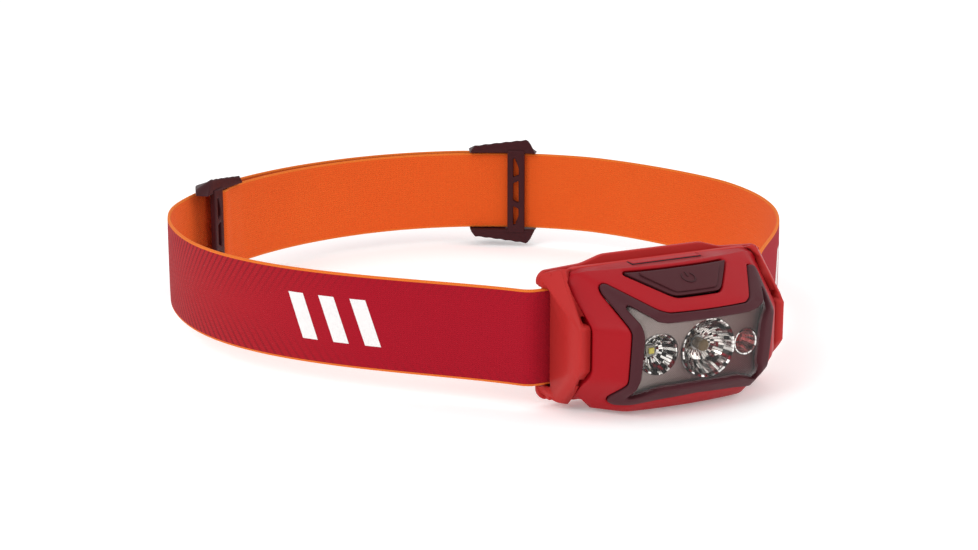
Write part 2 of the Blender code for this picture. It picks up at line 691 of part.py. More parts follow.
def build_reflector(name, place, depth, throat, mat):
    """A dish open at both ends; depth is its length and throat the radius of the hole round the LED."""
    x, z, radius = place
    steps = 6
    rear_y = -20.7
    dish = []
    for k in range(steps + 1):
        t = k / steps
        dish.append((throat + (radius - 0.4 - throat) * math.sqrt(t), depth * t))
    shell = [(r + 0.4, along) for r, along in reversed(dish)]
    return turned(dish + shell, name, along_beam(x, rear_y, z), mat)


def build_dome(name, place, base_y, radius, height, mat):
    x, z = place[:2]
    steps = 5
    profile = [(0, 0)]
    for k in range(steps):
        turn = math.pi / 2 * k / steps
        profile.append((radius * math.cos(turn), height * math.sin(turn)))
    profile.append((0, height))
    return turned(profile, name, along_beam(x, base_y, z), mat, sides=20)


def build_led(name, place, half, mat):
    x, z = place[:2]
    led = box((x - half, x + half), (-21.2, -20.6), (z - half, z + half), name)
    led.data.materials.append(mat)
    return led


def build_heat_sink(mat):
    """The aluminium plate that carries the three LEDs."""
    outline = [(-18.0, -7.6), (18.0, -7.6), (18.0, 5.6), (-18.0, 5.6)]
    bm = solid_region(outline, [], -20.3, -19.4, from_front)
    return add_object("heat_sink", bm, mat)


def build_board(mat):
    outline = mirrored([(0, 7.3), (3.2, 7.3), (3.2, 9.4), (17.5, 9.4), (22.7, 4.0), (22.7, -6.5),
                        (16.5, -12.4), (0, -12.4)])
    holes = [circle(side * SCREW_X, SCREW_Z, 0.9, 12) for side in (1, -1)]
    bm = solid_region(outline, holes, -19.1, -18.2, from_front)
    return add_object("main_circuit_board", bm, mat)


def build_screw(side, mat):
    """A pan-head screw from the back of the board into the housing's boss."""
    sign = 1 if side == "right" else -1
    profile = [(0, 0.0), (1.2, 0.0), (1.3, 0.3), (1.3, 0.6), (0.42, 0.6), (0.42, 4.6), (0, 5.0)]
    return turned(profile, "board_screw_" + side, along_beam(sign * SCREW_X, -17.3, SCREW_Z), mat, sides=12)


def build_chip(mat):
    chip = box((-11.0, -6.0), (-20.4, -19.4), (-11.9, -8.2), "control_chip")
    chip.data.materials.append(mat)
    return chip


def build_inductor(mat):
    return rod(1.8, 0.0, 2.4, along_beam(8.5, -19.4, -10.0), "power_inductor", mat, sides=16)


def build_tact_switch(mat):
    base = rod(1.3, -1.4, 0.0, along_press(SWITCH_DEPTH), "tact_switch", sides=12)
    cut(base, rod(0.95, -1.05, 1.0, along_press(SWITCH_DEPTH), sides=14))
    base.data.materials.append(mat)
    return base


def build_plunger(mat):
    """The switch's own plunger, pushed by the button's stem."""
    return rod(0.6, -0.3, 0.7, along_press(SWITCH_DEPTH), "switch_plunger", mat, sides=12)


def build_button(mat):
    """The soft button, with a stem on its underside."""
    gap_outline = offset_outline(mirrored(BUTTON), -GAP)
    bm = solid_region(dense(gap_outline, 5.0), [], -0.3, 0.9, on_lamp, spacing=3.0)
    button = add_object("power_button", bm)
    join(button, rod(0.8, 0.0, 2.2, along_press(SWITCH_DEPTH - 1.0), sides=12))
    button.data.materials.append(mat)
    return button


# --- assembly ------------------------------------------------------------------------------------

def build_pivot(name, x, y, z, parent=None):
    """An empty on a joint's axis. The place is in the whole object's frame."""
    pivot = bpy.data.objects.new(name, None)
    bpy.context.collection.objects.link(pivot)
    pivot.parent = parent
    pivot.location = metres(x, y, z) - (parent.matrix_world.translation if parent else Vector())
    bpy.context.view_layer.update()
    return pivot


def hang(pivot, *objects):
    """Parent objects to a pivot, with their origins on it and their shapes left where they are."""
    for obj in objects:
        obj.data.transform(Matrix.Translation(-pivot.matrix_world.translation))
        obj.parent = pivot


def build_all():
    clear_scene()
    red_plastic = material("red_plastic", (0.47, 0.03, 0.035), 0.5)
    red_housing = material("red_housing", (0.47, 0.03, 0.035), 0.45)
    strap_fabric = material("strap_fabric", (0.38, 0.012, 0.025), 0.9)
    adjuster_plastic = material("adjuster_plastic", (0.055, 0.012, 0.014), 0.55)
    steel = material("steel", (0.6, 0.6, 0.6), 0.3, 1.0)
    spring_steel = material("spring_steel", (0.55, 0.55, 0.52), 0.35, 1.0)
    case_plastic = material("case_plastic", (0.05, 0.05, 0.055), 0.6)
    cell_wrap = material("cell_wrap", (0.03, 0.035, 0.045), 0.35)
    nickel = material("nickel", (0.66, 0.62, 0.55), 0.3, 1.0)
    bezel_rubber = material("bezel_rubber", (0.075, 0.022, 0.026), 0.6)
    button_rubber = material("button_rubber", (0.07, 0.022, 0.026), 0.65)
    clear_plastic = material("clear_plastic", (0.95, 0.95, 0.95), 0.05, 0.0, 0.3)
    mirror = material("reflector_metal", (0.85, 0.85, 0.86), 0.08, 1.0)
    panel_grey = material("panel_grey", (0.35, 0.29, 0.29), 0.35, 0.6)
    led_yellow = material("led_yellow", (0.75, 0.66, 0.12), 0.4)
    led_red = material("led_red", (0.5, 0.02, 0.02), 0.3)
    aluminium = material("aluminium", (0.75, 0.76, 0.77), 0.4, 1.0)
    board_green = material("board_green", (0.01, 0.12, 0.05), 0.5)
    chip_black = material("chip_black", (0.012, 0.012, 0.014), 0.5)
    ferrite = material("ferrite", (0.05, 0.05, 0.05), 0.7)

    build_bracket(red_plastic)
    ribbon(strap_path(), "headband_strap", strap_fabric)
    build_hinge_pin(steel)
    build_detent_spring(spring_steel)

    for side in ("left", "right"):
        pivot = build_pivot("adjuster_centre_" + side, *ARC_CENTRE[side], 0)
        hang(pivot, build_adjuster(side, adjuster_plastic), build_strap_end(side, strap_fabric))

    tilt_axis = build_pivot("tilt_axis", 0, HINGE_Y, HINGE_Z)
    hang(tilt_axis, build_battery_case(case_plastic))
    for row, direction in (("bottom", 1), ("middle", -1), ("top", 1)):
        hang(tilt_axis, build_cell(row, direction, cell_wrap),
             build_contact_spring(row, direction, spring_steel))

    case_open_axis = build_pivot("case_open_axis", 0, HINGE_Y, HINGE_Z, tilt_axis)
    for side in ("left", "right"):
        hang(tilt_axis, build_contact_plate(side, nickel))
        hang(case_open_axis, build_screw(side, steel))
    hang(case_open_axis, build_front_housing(red_housing), build_bezel(bezel_rubber),
         build_lens(clear_plastic), build_reflector_panel(panel_grey),
         build_reflector("spot_reflector", SPOT, 4.5, 1.9, mirror),
         build_reflector("flood_reflector", FLOOD, 3.2, 1.8, mirror),
         build_dome("red_dome_lens", RED, -21.7, RED[2] - 0.2, 3.2, clear_plastic),
         build_dome("spot_lens", SPOT, -21.5, 1.5, 1.6, clear_plastic),
         build_led("spot_led", SPOT, 1.1, led_yellow), build_led("flood_led", FLOOD, 1.1, led_yellow),
         build_led("red_led", RED, 0.9, led_red), build_heat_sink(aluminium), build_board(board_green),
         build_chip(chip_black), build_inductor(ferrite), build_tact_switch(chip_black))
    button_axis = build_pivot("button_axis", *STEM_FOOT, case_open_axis)
    hang(button_axis, build_button(button_rubber))
    plunger_axis = build_pivot("plunger_axis", *STEM_FOOT, case_open_axis)
    hang(plunger_axis, build_plunger(steel))


build_all()
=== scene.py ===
"""Headlamp: the visible pieces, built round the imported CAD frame.

The origin is the centre of the bracket's back face, +Y points to the head, the beam points along -Y
and +Z is up. Sizes below are in millimetres; metres() turns them into Blender's metres.
"""

import json
import math

import bmesh
import bpy
from mathutils import Matrix, Vector
from mathutils.geometry import delaunay_2d_cdt


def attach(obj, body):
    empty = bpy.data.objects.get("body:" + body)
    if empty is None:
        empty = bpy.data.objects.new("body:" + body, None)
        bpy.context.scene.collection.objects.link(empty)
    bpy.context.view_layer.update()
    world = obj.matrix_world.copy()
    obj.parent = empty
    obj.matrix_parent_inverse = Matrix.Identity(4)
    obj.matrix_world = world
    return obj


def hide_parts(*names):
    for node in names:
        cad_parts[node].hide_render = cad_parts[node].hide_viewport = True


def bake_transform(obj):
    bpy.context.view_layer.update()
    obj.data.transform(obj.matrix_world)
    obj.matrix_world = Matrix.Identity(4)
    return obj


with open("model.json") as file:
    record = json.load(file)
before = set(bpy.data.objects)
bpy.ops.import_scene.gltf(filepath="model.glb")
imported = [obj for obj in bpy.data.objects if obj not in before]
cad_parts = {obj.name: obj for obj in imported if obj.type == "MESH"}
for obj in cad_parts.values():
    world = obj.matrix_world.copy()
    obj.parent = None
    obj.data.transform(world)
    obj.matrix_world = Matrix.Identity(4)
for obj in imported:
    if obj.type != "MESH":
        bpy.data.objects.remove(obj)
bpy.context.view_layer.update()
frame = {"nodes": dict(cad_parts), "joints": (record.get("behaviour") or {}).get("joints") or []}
NODES = frame["nodes"]
JOINTS = {joint["name"]: joint for joint in frame["joints"]}

MM = 0.001

# --- strap ---
STRAP_HALF = 12.5
STRAP_HALF_THICK = 0.5
STRAP_Y = -2.6
STRAP_EXIT_X = {"left": 33.6, "right": 30.6}    # the strap starts to bend back here
BEND_REACH = 2.4               # of the bend, before and after its corner
# Round the back the two layers follow one arc for each adjuster. Angles are in degrees, 0 is straight back.
ARC_CENTRE = {side: tuple(value / MM for value in JOINTS["adjuster_" + side + "_slide"]["pos_m"][:2])
              for side in ("left", "right")}
ARC_RADIUS = {"left": 98.0, "right": 80.0}     # inner layer, centre line
ARC_JOIN = -5.0
ARC_END = {"left": -52.0, "right": 50.0}
LAYER_STEP = 4.2
STRAP_STEP = 2.0
ADJUSTER_ANGLE = {"left": -44.1, "right": 34.1}
ADJUSTER_IN = {"left": 10.0, "right": 14.0}    # travel toward the middle of the back
CHEVRONS_AND_PAINTED_LIGHT = (80.0, 190.0)       # lengths from the lamp where the printed lines start, and where they are full; painted light on the strap's far side grows over the same lengths
MARKS_FROM_LAMP = 76.0
FOLD_START = 19.0              # the fold round an adjuster's anchor bar begins here
ANCHOR_BAR = 6.0
LINK_REACH = 20.5              # the strap end held by an adjuster, from its ladder bar
FLANGE_DEPTH = (-2.5, 6.2)     # of an adjuster's flanges, measured out from the inner layer
LINK_LEVEL = {"left": 0.0, "right": LAYER_STEP}     # the layer that each adjuster holds the end of

# --- lamp ---
HALF_WIDTH = 26.9
HALF_HEIGHT = 17.6
WALL = 1.2
BODY_REAR_Y = -5.6
BLEND = 0.55                   # how softly the facets of the front run together
TOP_SLOPE = 0.4377
ALONG_BEAM = 1.07              # a depth under the surface, measured along the beam
HINGE_Y, HINGE_Z = (value / MM for value in JOINTS["tilt"]["pos_m"][1:])
HINGE_BORE, HINGE_RADIUS = 1.1, 1.7
SPOT = (1.8, -1.2, 7.6)        # each light: x, z and radius
FLOOD = (-11.9, -1.4, 5.3)
RED = (13.3, -1.4, 3.4)
EDGE_STEPS = 3                 # rings round a rounded edge

# Half outlines, as (x, z) seen from the front, from the top middle to the bottom middle.
BODY_OUTLINE = [(0, 17.6), (12, 17.6), (23.5, 17.3), (26.6, 16.6), (28.2, 14.8), (28.2, 12.4), (27.2, 7.5),
                (26.9, 5.0), (26.9, -6.0), (27.6, -10.0), (27.6, -14.0), (26.6, -16.6), (24.0, -17.6),
                (12, -17.6), (0, -17.6)]
FRAME_OUTER = [(0, 9.7), (11.2, 9.7), (13.4, 10.3), (21.2, 15.1), (22.6, 14.6), (22.8, 13.2), (20.6, 6.4),
               (20.3, 5.0), (20.2, -8.0), (21.9, -12.9), (21.6, -14.3), (20.2, -15.1), (11.0, -13.6),
               (0, -12.9)]
WINDOW = [(0, 7.5), (11.6, 7.4), (14.2, 8.0), (19.3, 11.4), (19.9, 10.6), (17.6, 5.4), (17.2, 3.5),
          (17.2, -7.0), (19.0, -12.2), (18.4, -12.7), (12.0, -10.4), (0, -10.0)]
BUTTON = [(0, 17.0), (14.6, 16.9), (15.3, 16.3), (7.6, 12.4), (6.2, 12.0), (0, 12.0)]
BUTTON_PAD = [(0, 16.5), (11.0, 16.4), (11.4, 15.9), (6.3, 13.1), (5.4, 12.8), (0, 12.8)]


# --- points and outlines ---

def metres(x, y, z):
    return Vector((x * MM, y * MM, z * MM))


def mirrored(half):
    """A closed symmetrical outline from its right half, which runs from the top middle down."""
    left = [(-x, z) for x, z in reversed(half) if x > 0]
    return list(half) + left


def offset_outline(points, distance):
    """Move an outline outward by a distance, or inward if the distance is negative."""
    count = len(points)
    area = sum(points[i][0] * points[(i + 1) % count][1] - points[(i + 1) % count][0] * points[i][1]
               for i in range(count))
    turn = 1.0 if area > 0 else -1.0
    moved = []
    for i in range(count):
        before = Vector(points[i]) - Vector(points[i - 1])
        after = Vector(points[(i + 1) % count]) - Vector(points[i])
        normals = [Vector((edge.y, -edge.x)).normalized() * turn for edge in (before, after)]
        bisector = (normals[0] + normals[1]).normalized()
        stretch = min(1.0 / max(bisector.dot(normals[0]), 0.3), 2.0)
        moved.append(tuple(Vector(points[i]) + bisector * distance * stretch))
    return moved


def rounded(points, radius, steps=4):
    """Round the corners of a closed outline."""
    result = []
    count = len(points)
    for i in range(count):
        corner = Vector(points[i])
        to_before = Vector(points[i - 1]) - corner
        to_after = Vector(points[(i + 1) % count]) - corner
        reach = min(radius, to_before.length * 0.48, to_after.length * 0.48)
        start = corner + to_before.normalized() * reach
        end = corner + to_after.normalized() * reach
        if to_before.normalized().dot(to_after.normalized()) < -0.999:
            result.append(tuple(corner))
            continue
        for k in range(steps + 1):
            t = k / steps
            result.append(tuple(start * (1 - t) ** 2 + corner * 2 * t * (1 - t) + end * t * t))
    return result


def dense(points, step):
    """Add points so that no edge of a closed outline is longer than step."""
    result = []
    for i, start in enumerate(points):
        end = points[(i + 1) % len(points)]
        pieces = max(1, math.ceil(math.dist(start, end) / step - 1e-6))
        for k in range(pieces):
            result.append((start[0] + (end[0] - start[0]) * k / pieces,
                           start[1] + (end[1] - start[1]) * k / pieces))
    return result


def circle(x, z, radius):
    sides = 48
    return [(x + radius * math.cos(2 * math.pi * k / sides), z + radius * math.sin(2 * math.pi * k / sides))
            for k in range(sides)]


def inside(point, outline):
    """True if a ray from the point crosses the outline an odd number of times."""
    crossings = 0
    for i, (ax, ay) in enumerate(outline):
        bx, by = outline[(i + 1) % len(outline)]
        if (ay > point[1]) != (by > point[1]) and point[0] < (bx - ax) * (point[1] - ay) / (by - ay) + ax:
            crossings += 1
    return crossings % 2 == 1


def triangulate(loops, spacing):
    """Triangles of a flat region: the first loop bounds it and the others are holes."""
    points = [Vector(p) for loop in loops for p in loop]
    edges = []
    loop_indices = []
    start = 0
    for loop in loops:
        indices = list(range(start, start + len(loop)))
        loop_indices.append(indices)
        edges += [(indices[k - 1], indices[k]) for k in range(len(indices))]
        start += len(loop)
    if spacing:
        low = [min(p[axis] for p in loops[0]) for axis in (0, 1)]
        high = [max(p[axis] for p in loops[0]) for axis in (0, 1)]
        columns = int((high[0] - low[0]) / spacing)
        rows = int((high[1] - low[1]) / spacing)
        for i in range(columns + 1):
            for j in range(rows + 1):
                point = ((low[0] + high[0]) / 2 + (i - columns / 2) * spacing,
                         (low[1] + high[1]) / 2 + (j - rows / 2) * spacing)
                if not inside(point, loops[0]) or any(inside(point, hole) for hole in loops[1:]):
                    continue
                if all(min(math.dist(point, p) for p in loop) > spacing * 0.5 for loop in loops):
                    points.append(Vector(point))
    vertices, _, faces, *_ = delaunay_2d_cdt(points, edges, [], 0, 1e-5)
    placed = [[tuple(vertices[i]) for i in indices] for indices in loop_indices]
    kept = []
    for face in faces:
        middle = [sum(vertices[i][axis] for i in face) / len(face) for axis in (0, 1)]
        if inside(middle, placed[0]) and not any(inside(middle, hole) for hole in placed[1:]):
            kept.append(face)
    return vertices, kept, loop_indices


# --- meshes ---

def add_object(name, bm, *materials, sharp=40):
    """A smooth-shaded object from bm, with edges sharper than an angle in degrees kept crisp."""
    bmesh.ops.recalc_face_normals(bm, faces=bm.faces)
    mesh = bpy.data.meshes.new(name)
    bm.to_mesh(mesh)
    bm.free()
    obj = bpy.data.objects.new(name, mesh)
    bpy.context.collection.objects.link(obj)
    for mat in materials:
        mesh.materials.append(mat)
    mesh.shade_smooth()
    mesh.set_sharp_from_angle(angle=math.radians(sharp))
    return obj


def edge_levels(low, high, edge, back_edge):
    """(inset, depth) of each ring from the front face to the back face, rounding both edges."""
    turns = [math.pi / 2 * k / EDGE_STEPS for k in range(EDGE_STEPS + 1)]
    levels = [(edge * (1 - math.sin(turn)), low + edge * (1 - math.cos(turn)))
              for turn in (turns if edge else turns[:1])]
    levels += [(back_edge * (1 - math.cos(turn)), high - back_edge * (1 - math.sin(turn)))
               for turn in (turns if back_edge else turns[:1])]
    return levels


def shell(outer, holes, low, high, place, spacing=None, edge=0.0, back_edge=0.0, rear=None):
    """A closed solid over a flat region with rounded edges: place(u, v, w) puts a point at depth w.

    With rear, the outer edge is carried straight back as a skirt to rear(u, v, w).
    """
    loops = [outer] + list(holes)
    signs = [-1] + [1] * len(holes)
    levels = edge_levels(low, high, edge, back_edge)
    front_loops = [offset_outline(loop, sign * levels[0][0]) for loop, sign in zip(loops, signs)]
    vertices, faces, loop_indices = triangulate(front_loops, spacing)
    bm = bmesh.new()
    front = [bm.verts.new(place(p.x, p.y, low)) for p in vertices]
    back = {}
    on_loop = {i for indices in loop_indices for i in indices}
    for i, p in enumerate(vertices):
        if i not in on_loop:
            back[i] = bm.verts.new(place(p.x, p.y, high))
    for number, (loop, sign, indices) in enumerate(zip(loops, signs, loop_indices)):
        ring = [front[i] for i in indices]
        stations = [(place, inset, depth) for inset, depth in levels[1:]]
        if rear and number == 0:
            front_stations = [s for s in stations if s[2] <= low + edge + 1e-9]
            stations = front_stations + [(rear, 0.0, low), (rear, 0.0, high), (place, 0.0, high)]
        for putter, inset, depth in stations:
            outline = offset_outline(loop, sign * inset) if inset else loop
            following = [bm.verts.new(putter(u, v, depth)) for u, v in outline]
            for k in range(len(ring)):
                bm.faces.new((ring[k - 1], ring[k], following[k], following[k - 1]))
            ring = following
        for i, vert in zip(indices, ring):
            back[i] = vert
    for face in faces:
        bm.faces.new([front[i] for i in face])
        bm.faces.new([back[i] for i in reversed(face)])
    return bm


def turned(bm, profile, placing, sides):
    """Add a body of revolution to bm. profile holds (radius, distance along the axis)."""
    rings = []
    for radius, along in profile:
        turns = [2 * math.pi * k / sides for k in range(sides if radius else 1)]
        rings.append([bm.verts.new(placing @ metres(radius * math.cos(turn), radius * math.sin(turn), along))
                      for turn in turns])
    pairs = list(zip(rings, rings[1:]))
    if profile[0][0] != 0:
        pairs.append((rings[-1], rings[0]))
    for first, second in pairs:
        for k in range(sides):
            if len(first) == 1:
                bm.faces.new((first[0], second[k], second[k - 1]))
            elif len(second) == 1:
                bm.faces.new((first[k - 1], first[k], second[0]))
            else:
                bm.faces.new((first[k - 1], first[k], second[k], second[k - 1]))
    return bm


def along_x(y, z):
    """Local +Z points along +X."""
    return Matrix.Translation(metres(0, y, z)) @ Matrix.Rotation(math.pi / 2, 4, "Y")


def along_beam(x, y, z):
    """Local +Z points along the beam, -Y."""
    return Matrix.Translation(metres(x, y, z)) @ Matrix.Rotation(math.pi / 2, 4, "X")


def hull(points):
    """The convex body round some points, with its flat faces merged."""
    bm = bmesh.new()
    for point in points:
        bm.verts.new(metres(*point))
    result = bmesh.ops.convex_hull(bm, input=bm.verts)
    leftover = [v for v in result["geom_interior"] if isinstance(v, bmesh.types.BMVert)]
    bmesh.ops.delete(bm, geom=leftover, context="VERTS")
    bmesh.ops.dissolve_limit(bm, angle_limit=math.radians(3), verts=bm.verts, edges=bm.edges)
    return bm


def block(bm, x, y, z):
    """Add an axis-aligned box to bm from three (low, high) pairs."""
    for vert in bmesh.ops.create_cube(bm, size=1.0)["verts"]:
        vert.co = metres(*(pair[0] if value < 0 else pair[1] for pair, value in zip((x, y, z), vert.co)))
    return bm


def join(bm, part):
    """Add the faces of another mesh to bm and free it."""
    mesh = bpy.data.meshes.new("part")
    part.to_mesh(mesh)
    part.free()
    bm.from_mesh(mesh)
    bpy.data.meshes.remove(mesh)


def add_bevel(obj, width, segments=3, angle=30):
    bevel = obj.modifiers.new("bevel", "BEVEL")
    bevel.width = width * MM
    bevel.segments = segments
    bevel.limit_method = "ANGLE"
    bevel.angle_limit = math.radians(angle)


def carve(obj, bm):
    """Cut a solid out of obj for good, after obj's own modifiers."""
    cutter = add_object("cutter", bm)
    modifier = obj.modifiers.new("carve", "BOOLEAN")
    modifier.operation = "DIFFERENCE"
    modifier.solver = "EXACT"
    modifier.object = cutter
    bpy.context.view_layer.update()
    result = bpy.data.meshes.new_from_object(obj.evaluated_get(bpy.context.evaluated_depsgraph_get()))
    obj.modifiers.clear()
    obj.data = result
    bpy.data.objects.remove(cutter, do_unlink=True)


def settle(obj, body, slot, *nodes):
    """obj rides on a CAD body and stands for these CAD nodes, if any; slot is not used."""
    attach(obj, body)
    if nodes:
        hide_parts(*nodes)


# --- materials ---

def linear(red, green, blue):
    """A colour given in sRGB, 0 to 255, as linear values with an alpha of 1."""
    values = []
    for channel in (red, green, blue):
        share = channel / 255
        values.append(share / 12.92 if share <= 0.04045 else ((share + 0.055) / 1.055) ** 2.4)
    return (*values, 1.0)


def wire(tree, inputs, values):
    """Give each of these inputs its value, or link it to another node's output."""
    for key, value in values.items():
        if isinstance(value, bpy.types.NodeSocket):
            tree.links.new(value, inputs[key])
        else:
            inputs[key].default_value = value


def node(tree, kind, inputs=None, **settings):
    """Add a shader node; each input is a value or another node's output."""
    made = tree.nodes.new(kind)
    for key, value in settings.items():
        setattr(made, key, value)
    wire(tree, made.inputs, inputs or {})
    return made


def math_node(tree, operation, *values):
    return node(tree, "ShaderNodeMath", dict(enumerate(values)), operation=operation).outputs[0]


def add(tree, first, second):
    return math_node(tree, "ADD", first, second)


def times(tree, first, second):
    return math_node(tree, "MULTIPLY", first, second)


def ripples(tree, value, pitch):
    """A sine wave over a length, -1 to 1."""
    return math_node(tree, "SINE", times(tree, value, 2 * math.pi / pitch))


def span(tree, value, low, high, to_low=0.0, to_high=1.0):
    """Map low..high to to_low..to_high, and hold the ends."""
    return node(tree, "ShaderNodeMapRange", {"Value": value, "From Min": low, "From Max": high,
                "To Min": to_low, "To Max": to_high}).outputs[0]


def noise(tree, where, scale, detail=2.0):
    made = node(tree, "ShaderNodeTexNoise", {"Vector": where, "Scale": scale, "Detail": detail})
    return made.outputs["Fac"]


def bump(tree, height, strength, distance):
    return node(tree, "ShaderNodeBump", {"Height": height, "Strength": strength,
                "Distance": distance}).outputs[0]


def object_place(tree):
    return node(tree, "ShaderNodeTexCoord").outputs["Object"]


def axes(tree, where):
    """The X, Y and Z outputs of a vector."""
    return node(tree, "ShaderNodeSeparateXYZ", {"Vector": where}).outputs


def mix_colours(tree, share, first, second, blend="MIX"):
    mixed = node(tree, "ShaderNodeMix", {"Factor": share}, data_type="RGBA", blend_type=blend)
    wire(tree, {socket.name: socket for socket in mixed.inputs if socket.type == "RGBA"},
         {"A": first, "B": second})
    return next(socket for socket in mixed.outputs if socket.type == "RGBA")


def shaded(tree, colour, level):
    """A colour darkened or lightened by a level round 1."""
    grey = node(tree, "ShaderNodeCombineColor", {"Red": level, "Green": level, "Blue": level}).outputs[0]
    return mix_colours(tree, 1.0, colour, grey, "MULTIPLY")


def scaled(colour, factor, lift=0.0):
    """A lighter or darker shade of a linear colour."""
    return (*(min(1.0, channel * factor + lift) for channel in colour[:3]), 1.0)


def new_material(name):
    """A material with its node tree and its Principled shader."""
    mat = bpy.data.materials.new(name)
    mat.use_nodes = True
    return mat, mat.node_tree, mat.node_tree.nodes["Principled BSDF"]


def moulded(name, colour, roughness, grain=0.12, metallic=0.0):
    """Moulded plastic or metal: slight cloudiness, a fine moulded grain and lighter edges, which are a
    painted highlight.
    """
    mat, tree, shader = new_material(name)
    where = object_place(tree)
    cloud = noise(tree, where, 90.0, 4.0)
    # painted highlight: pointy edges are mixed toward a lighter copy of the colour
    edge = span(tree, node(tree, "ShaderNodeNewGeometry").outputs["Pointiness"], 0.52, 0.62, 0.0, 0.18)
    base = mix_colours(tree, cloud, scaled(colour, 0.94), scaled(colour, 1.06))
    wire(tree, shader.inputs, {
        "Base Color": mix_colours(tree, edge, base, scaled(colour, 1.5, 0.02)),
        "Roughness": span(tree, cloud, 0.3, 0.7, roughness - 0.05, roughness + 0.06),
        "Normal": bump(tree, noise(tree, where, 3200.0), grain, 0.00008),
        "Metallic": metallic,
        "Specular IOR Level": 0.5 if metallic else 0.14})
    return mat


def strap_axes(tree):
    """Length along the strap and height up it, in metres."""
    parts = axes(tree, node(tree, "ShaderNodeUVMap", uv_map="strap").outputs[0])
    return parts["X"], parts["Y"]


def weave(tree, across=0.00055, along=0.0008):
    """A woven relief. across and along are the pitches of its threads, in metres."""
    length, height = strap_axes(tree)
    warp = ripples(tree, height, across)
    weft = ripples(tree, length, along)
    return add(tree, times(tree, warp, weft), times(tree, warp, 0.6))


def finish_fabric(tree, shader, colour, relief):
    """Connect colour, woven bump and sheen; the colour carries painted shade in the weave's hollows and
    painted light on its crests.
    """
    fibre = noise(tree, object_place(tree), 2600.0, 3.0)
    height = add(tree, relief, times(tree, fibre, 0.8))
    wire(tree, shader.inputs, {
        # painted shade and light: darker where the weave's relief is low, lighter where it is high
        "Base Color": shaded(tree, colour, span(tree, relief, -1.4, 1.4, 0.86, 1.08)),
        "Normal": bump(tree, height, 0.35, 0.00012),
        "Roughness": 0.85,
        "Specular IOR Level": 0.12,
        "Sheen Weight": 0.03,
        "Sheen Roughness": 0.5})


def strap_outer_material(name, start, full):
    """Crimson weave, painted lighter red between two lengths along the strap, in metres, as painted light on
    its far side. Thin dark chevron lines fade in between the same lengths.
    """
    mat, tree, shader = new_material(name)
    length, height = strap_axes(tree)
    reach = span(tree, length, start, full)
    families = []
    for slope, pitch, tilt in ((0.75, 0.00215, 45.0), (-0.75, 0.00255, -45.0)):
        slanted = add(tree, length, times(tree, height, slope))
        thin = span(tree, ripples(tree, slanted, pitch), 0.25, 0.75, 0.0, 0.8)
        strength = span(tree, add(tree, reach, times(tree, height, tilt)), 0.35, 1.1)
        families.append(times(tree, thin, strength))
    lines = math_node(tree, "MAXIMUM", *families)
    # painted light: the crimson turns to a lighter red away from the lamp
    base = mix_colours(tree, reach, linear(160, 14, 34), linear(178, 40, 43))
    finish_fabric(tree, shader, mix_colours(tree, lines, base, linear(104, 20, 30)), weave(tree))
    return mat


def strap_inner_material(name):
    """Orange weave, slightly patchy."""
    mat, tree, shader = new_material(name)
    patches = noise(tree, object_place(tree), 25.0)
    base = mix_colours(tree, patches, linear(218, 84, 28), linear(226, 98, 34))
    finish_fabric(tree, shader, base, weave(tree, 0.0007, 0.001))
    return mat


def strap_edge_material(name):
    """The selvedge, where orange and crimson threads meet."""
    mat, tree, shader = new_material(name)
    base = mix_colours(tree, 0.3, linear(236, 132, 44), linear(200, 60, 40))
    finish_fabric(tree, shader, base, weave(tree, 0.0005, 0.0006))
    return mat


def reflective_material(name):
    """Silver print with tiny glass beads."""
    mat, tree, shader = new_material(name)
    beads = node(tree, "ShaderNodeTexVoronoi", {"Vector": object_place(tree), "Scale": 4200.0})
    beads = beads.outputs["Distance"]
    wire(tree, shader.inputs, {
        "Base Color": mix_colours(tree, beads, linear(248, 246, 244), linear(214, 212, 212)),
        "Normal": bump(tree, beads, 0.2, 0.00004),
        "Roughness": 0.45})
    return mat


def clear_material(name, tint):
    """Clear moulded plastic: mostly see-through, with reflections on its front side."""
    mat, tree, shader = new_material(name)
    output = next(n for n in tree.nodes if n.type == "OUTPUT_MATERIAL")
    normal = bump(tree, noise(tree, object_place(tree), 260.0), 0.05, 0.0001)
    wire(tree, shader.inputs, {"Base Color": tint, "Roughness": 0.05, "Normal": normal})
    through = node(tree, "ShaderNodeBsdfTransparent", {"Color": tint}).outputs[0]
    facing = node(tree, "ShaderNodeFresnel", {"IOR": 1.45, "Normal": normal}).outputs[0]
    front = math_node(tree, "SUBTRACT", 1.0, node(tree, "ShaderNodeNewGeometry").outputs["Backfacing"])
    share = times(tree, times(tree, facing, 0.8), front)
    mixed = node(tree, "ShaderNodeMixShader", {"Fac": share, 1: through, 2: shader.outputs[0]}).outputs[0]
    tree.links.new(mixed, output.inputs["Surface"])
    return mat


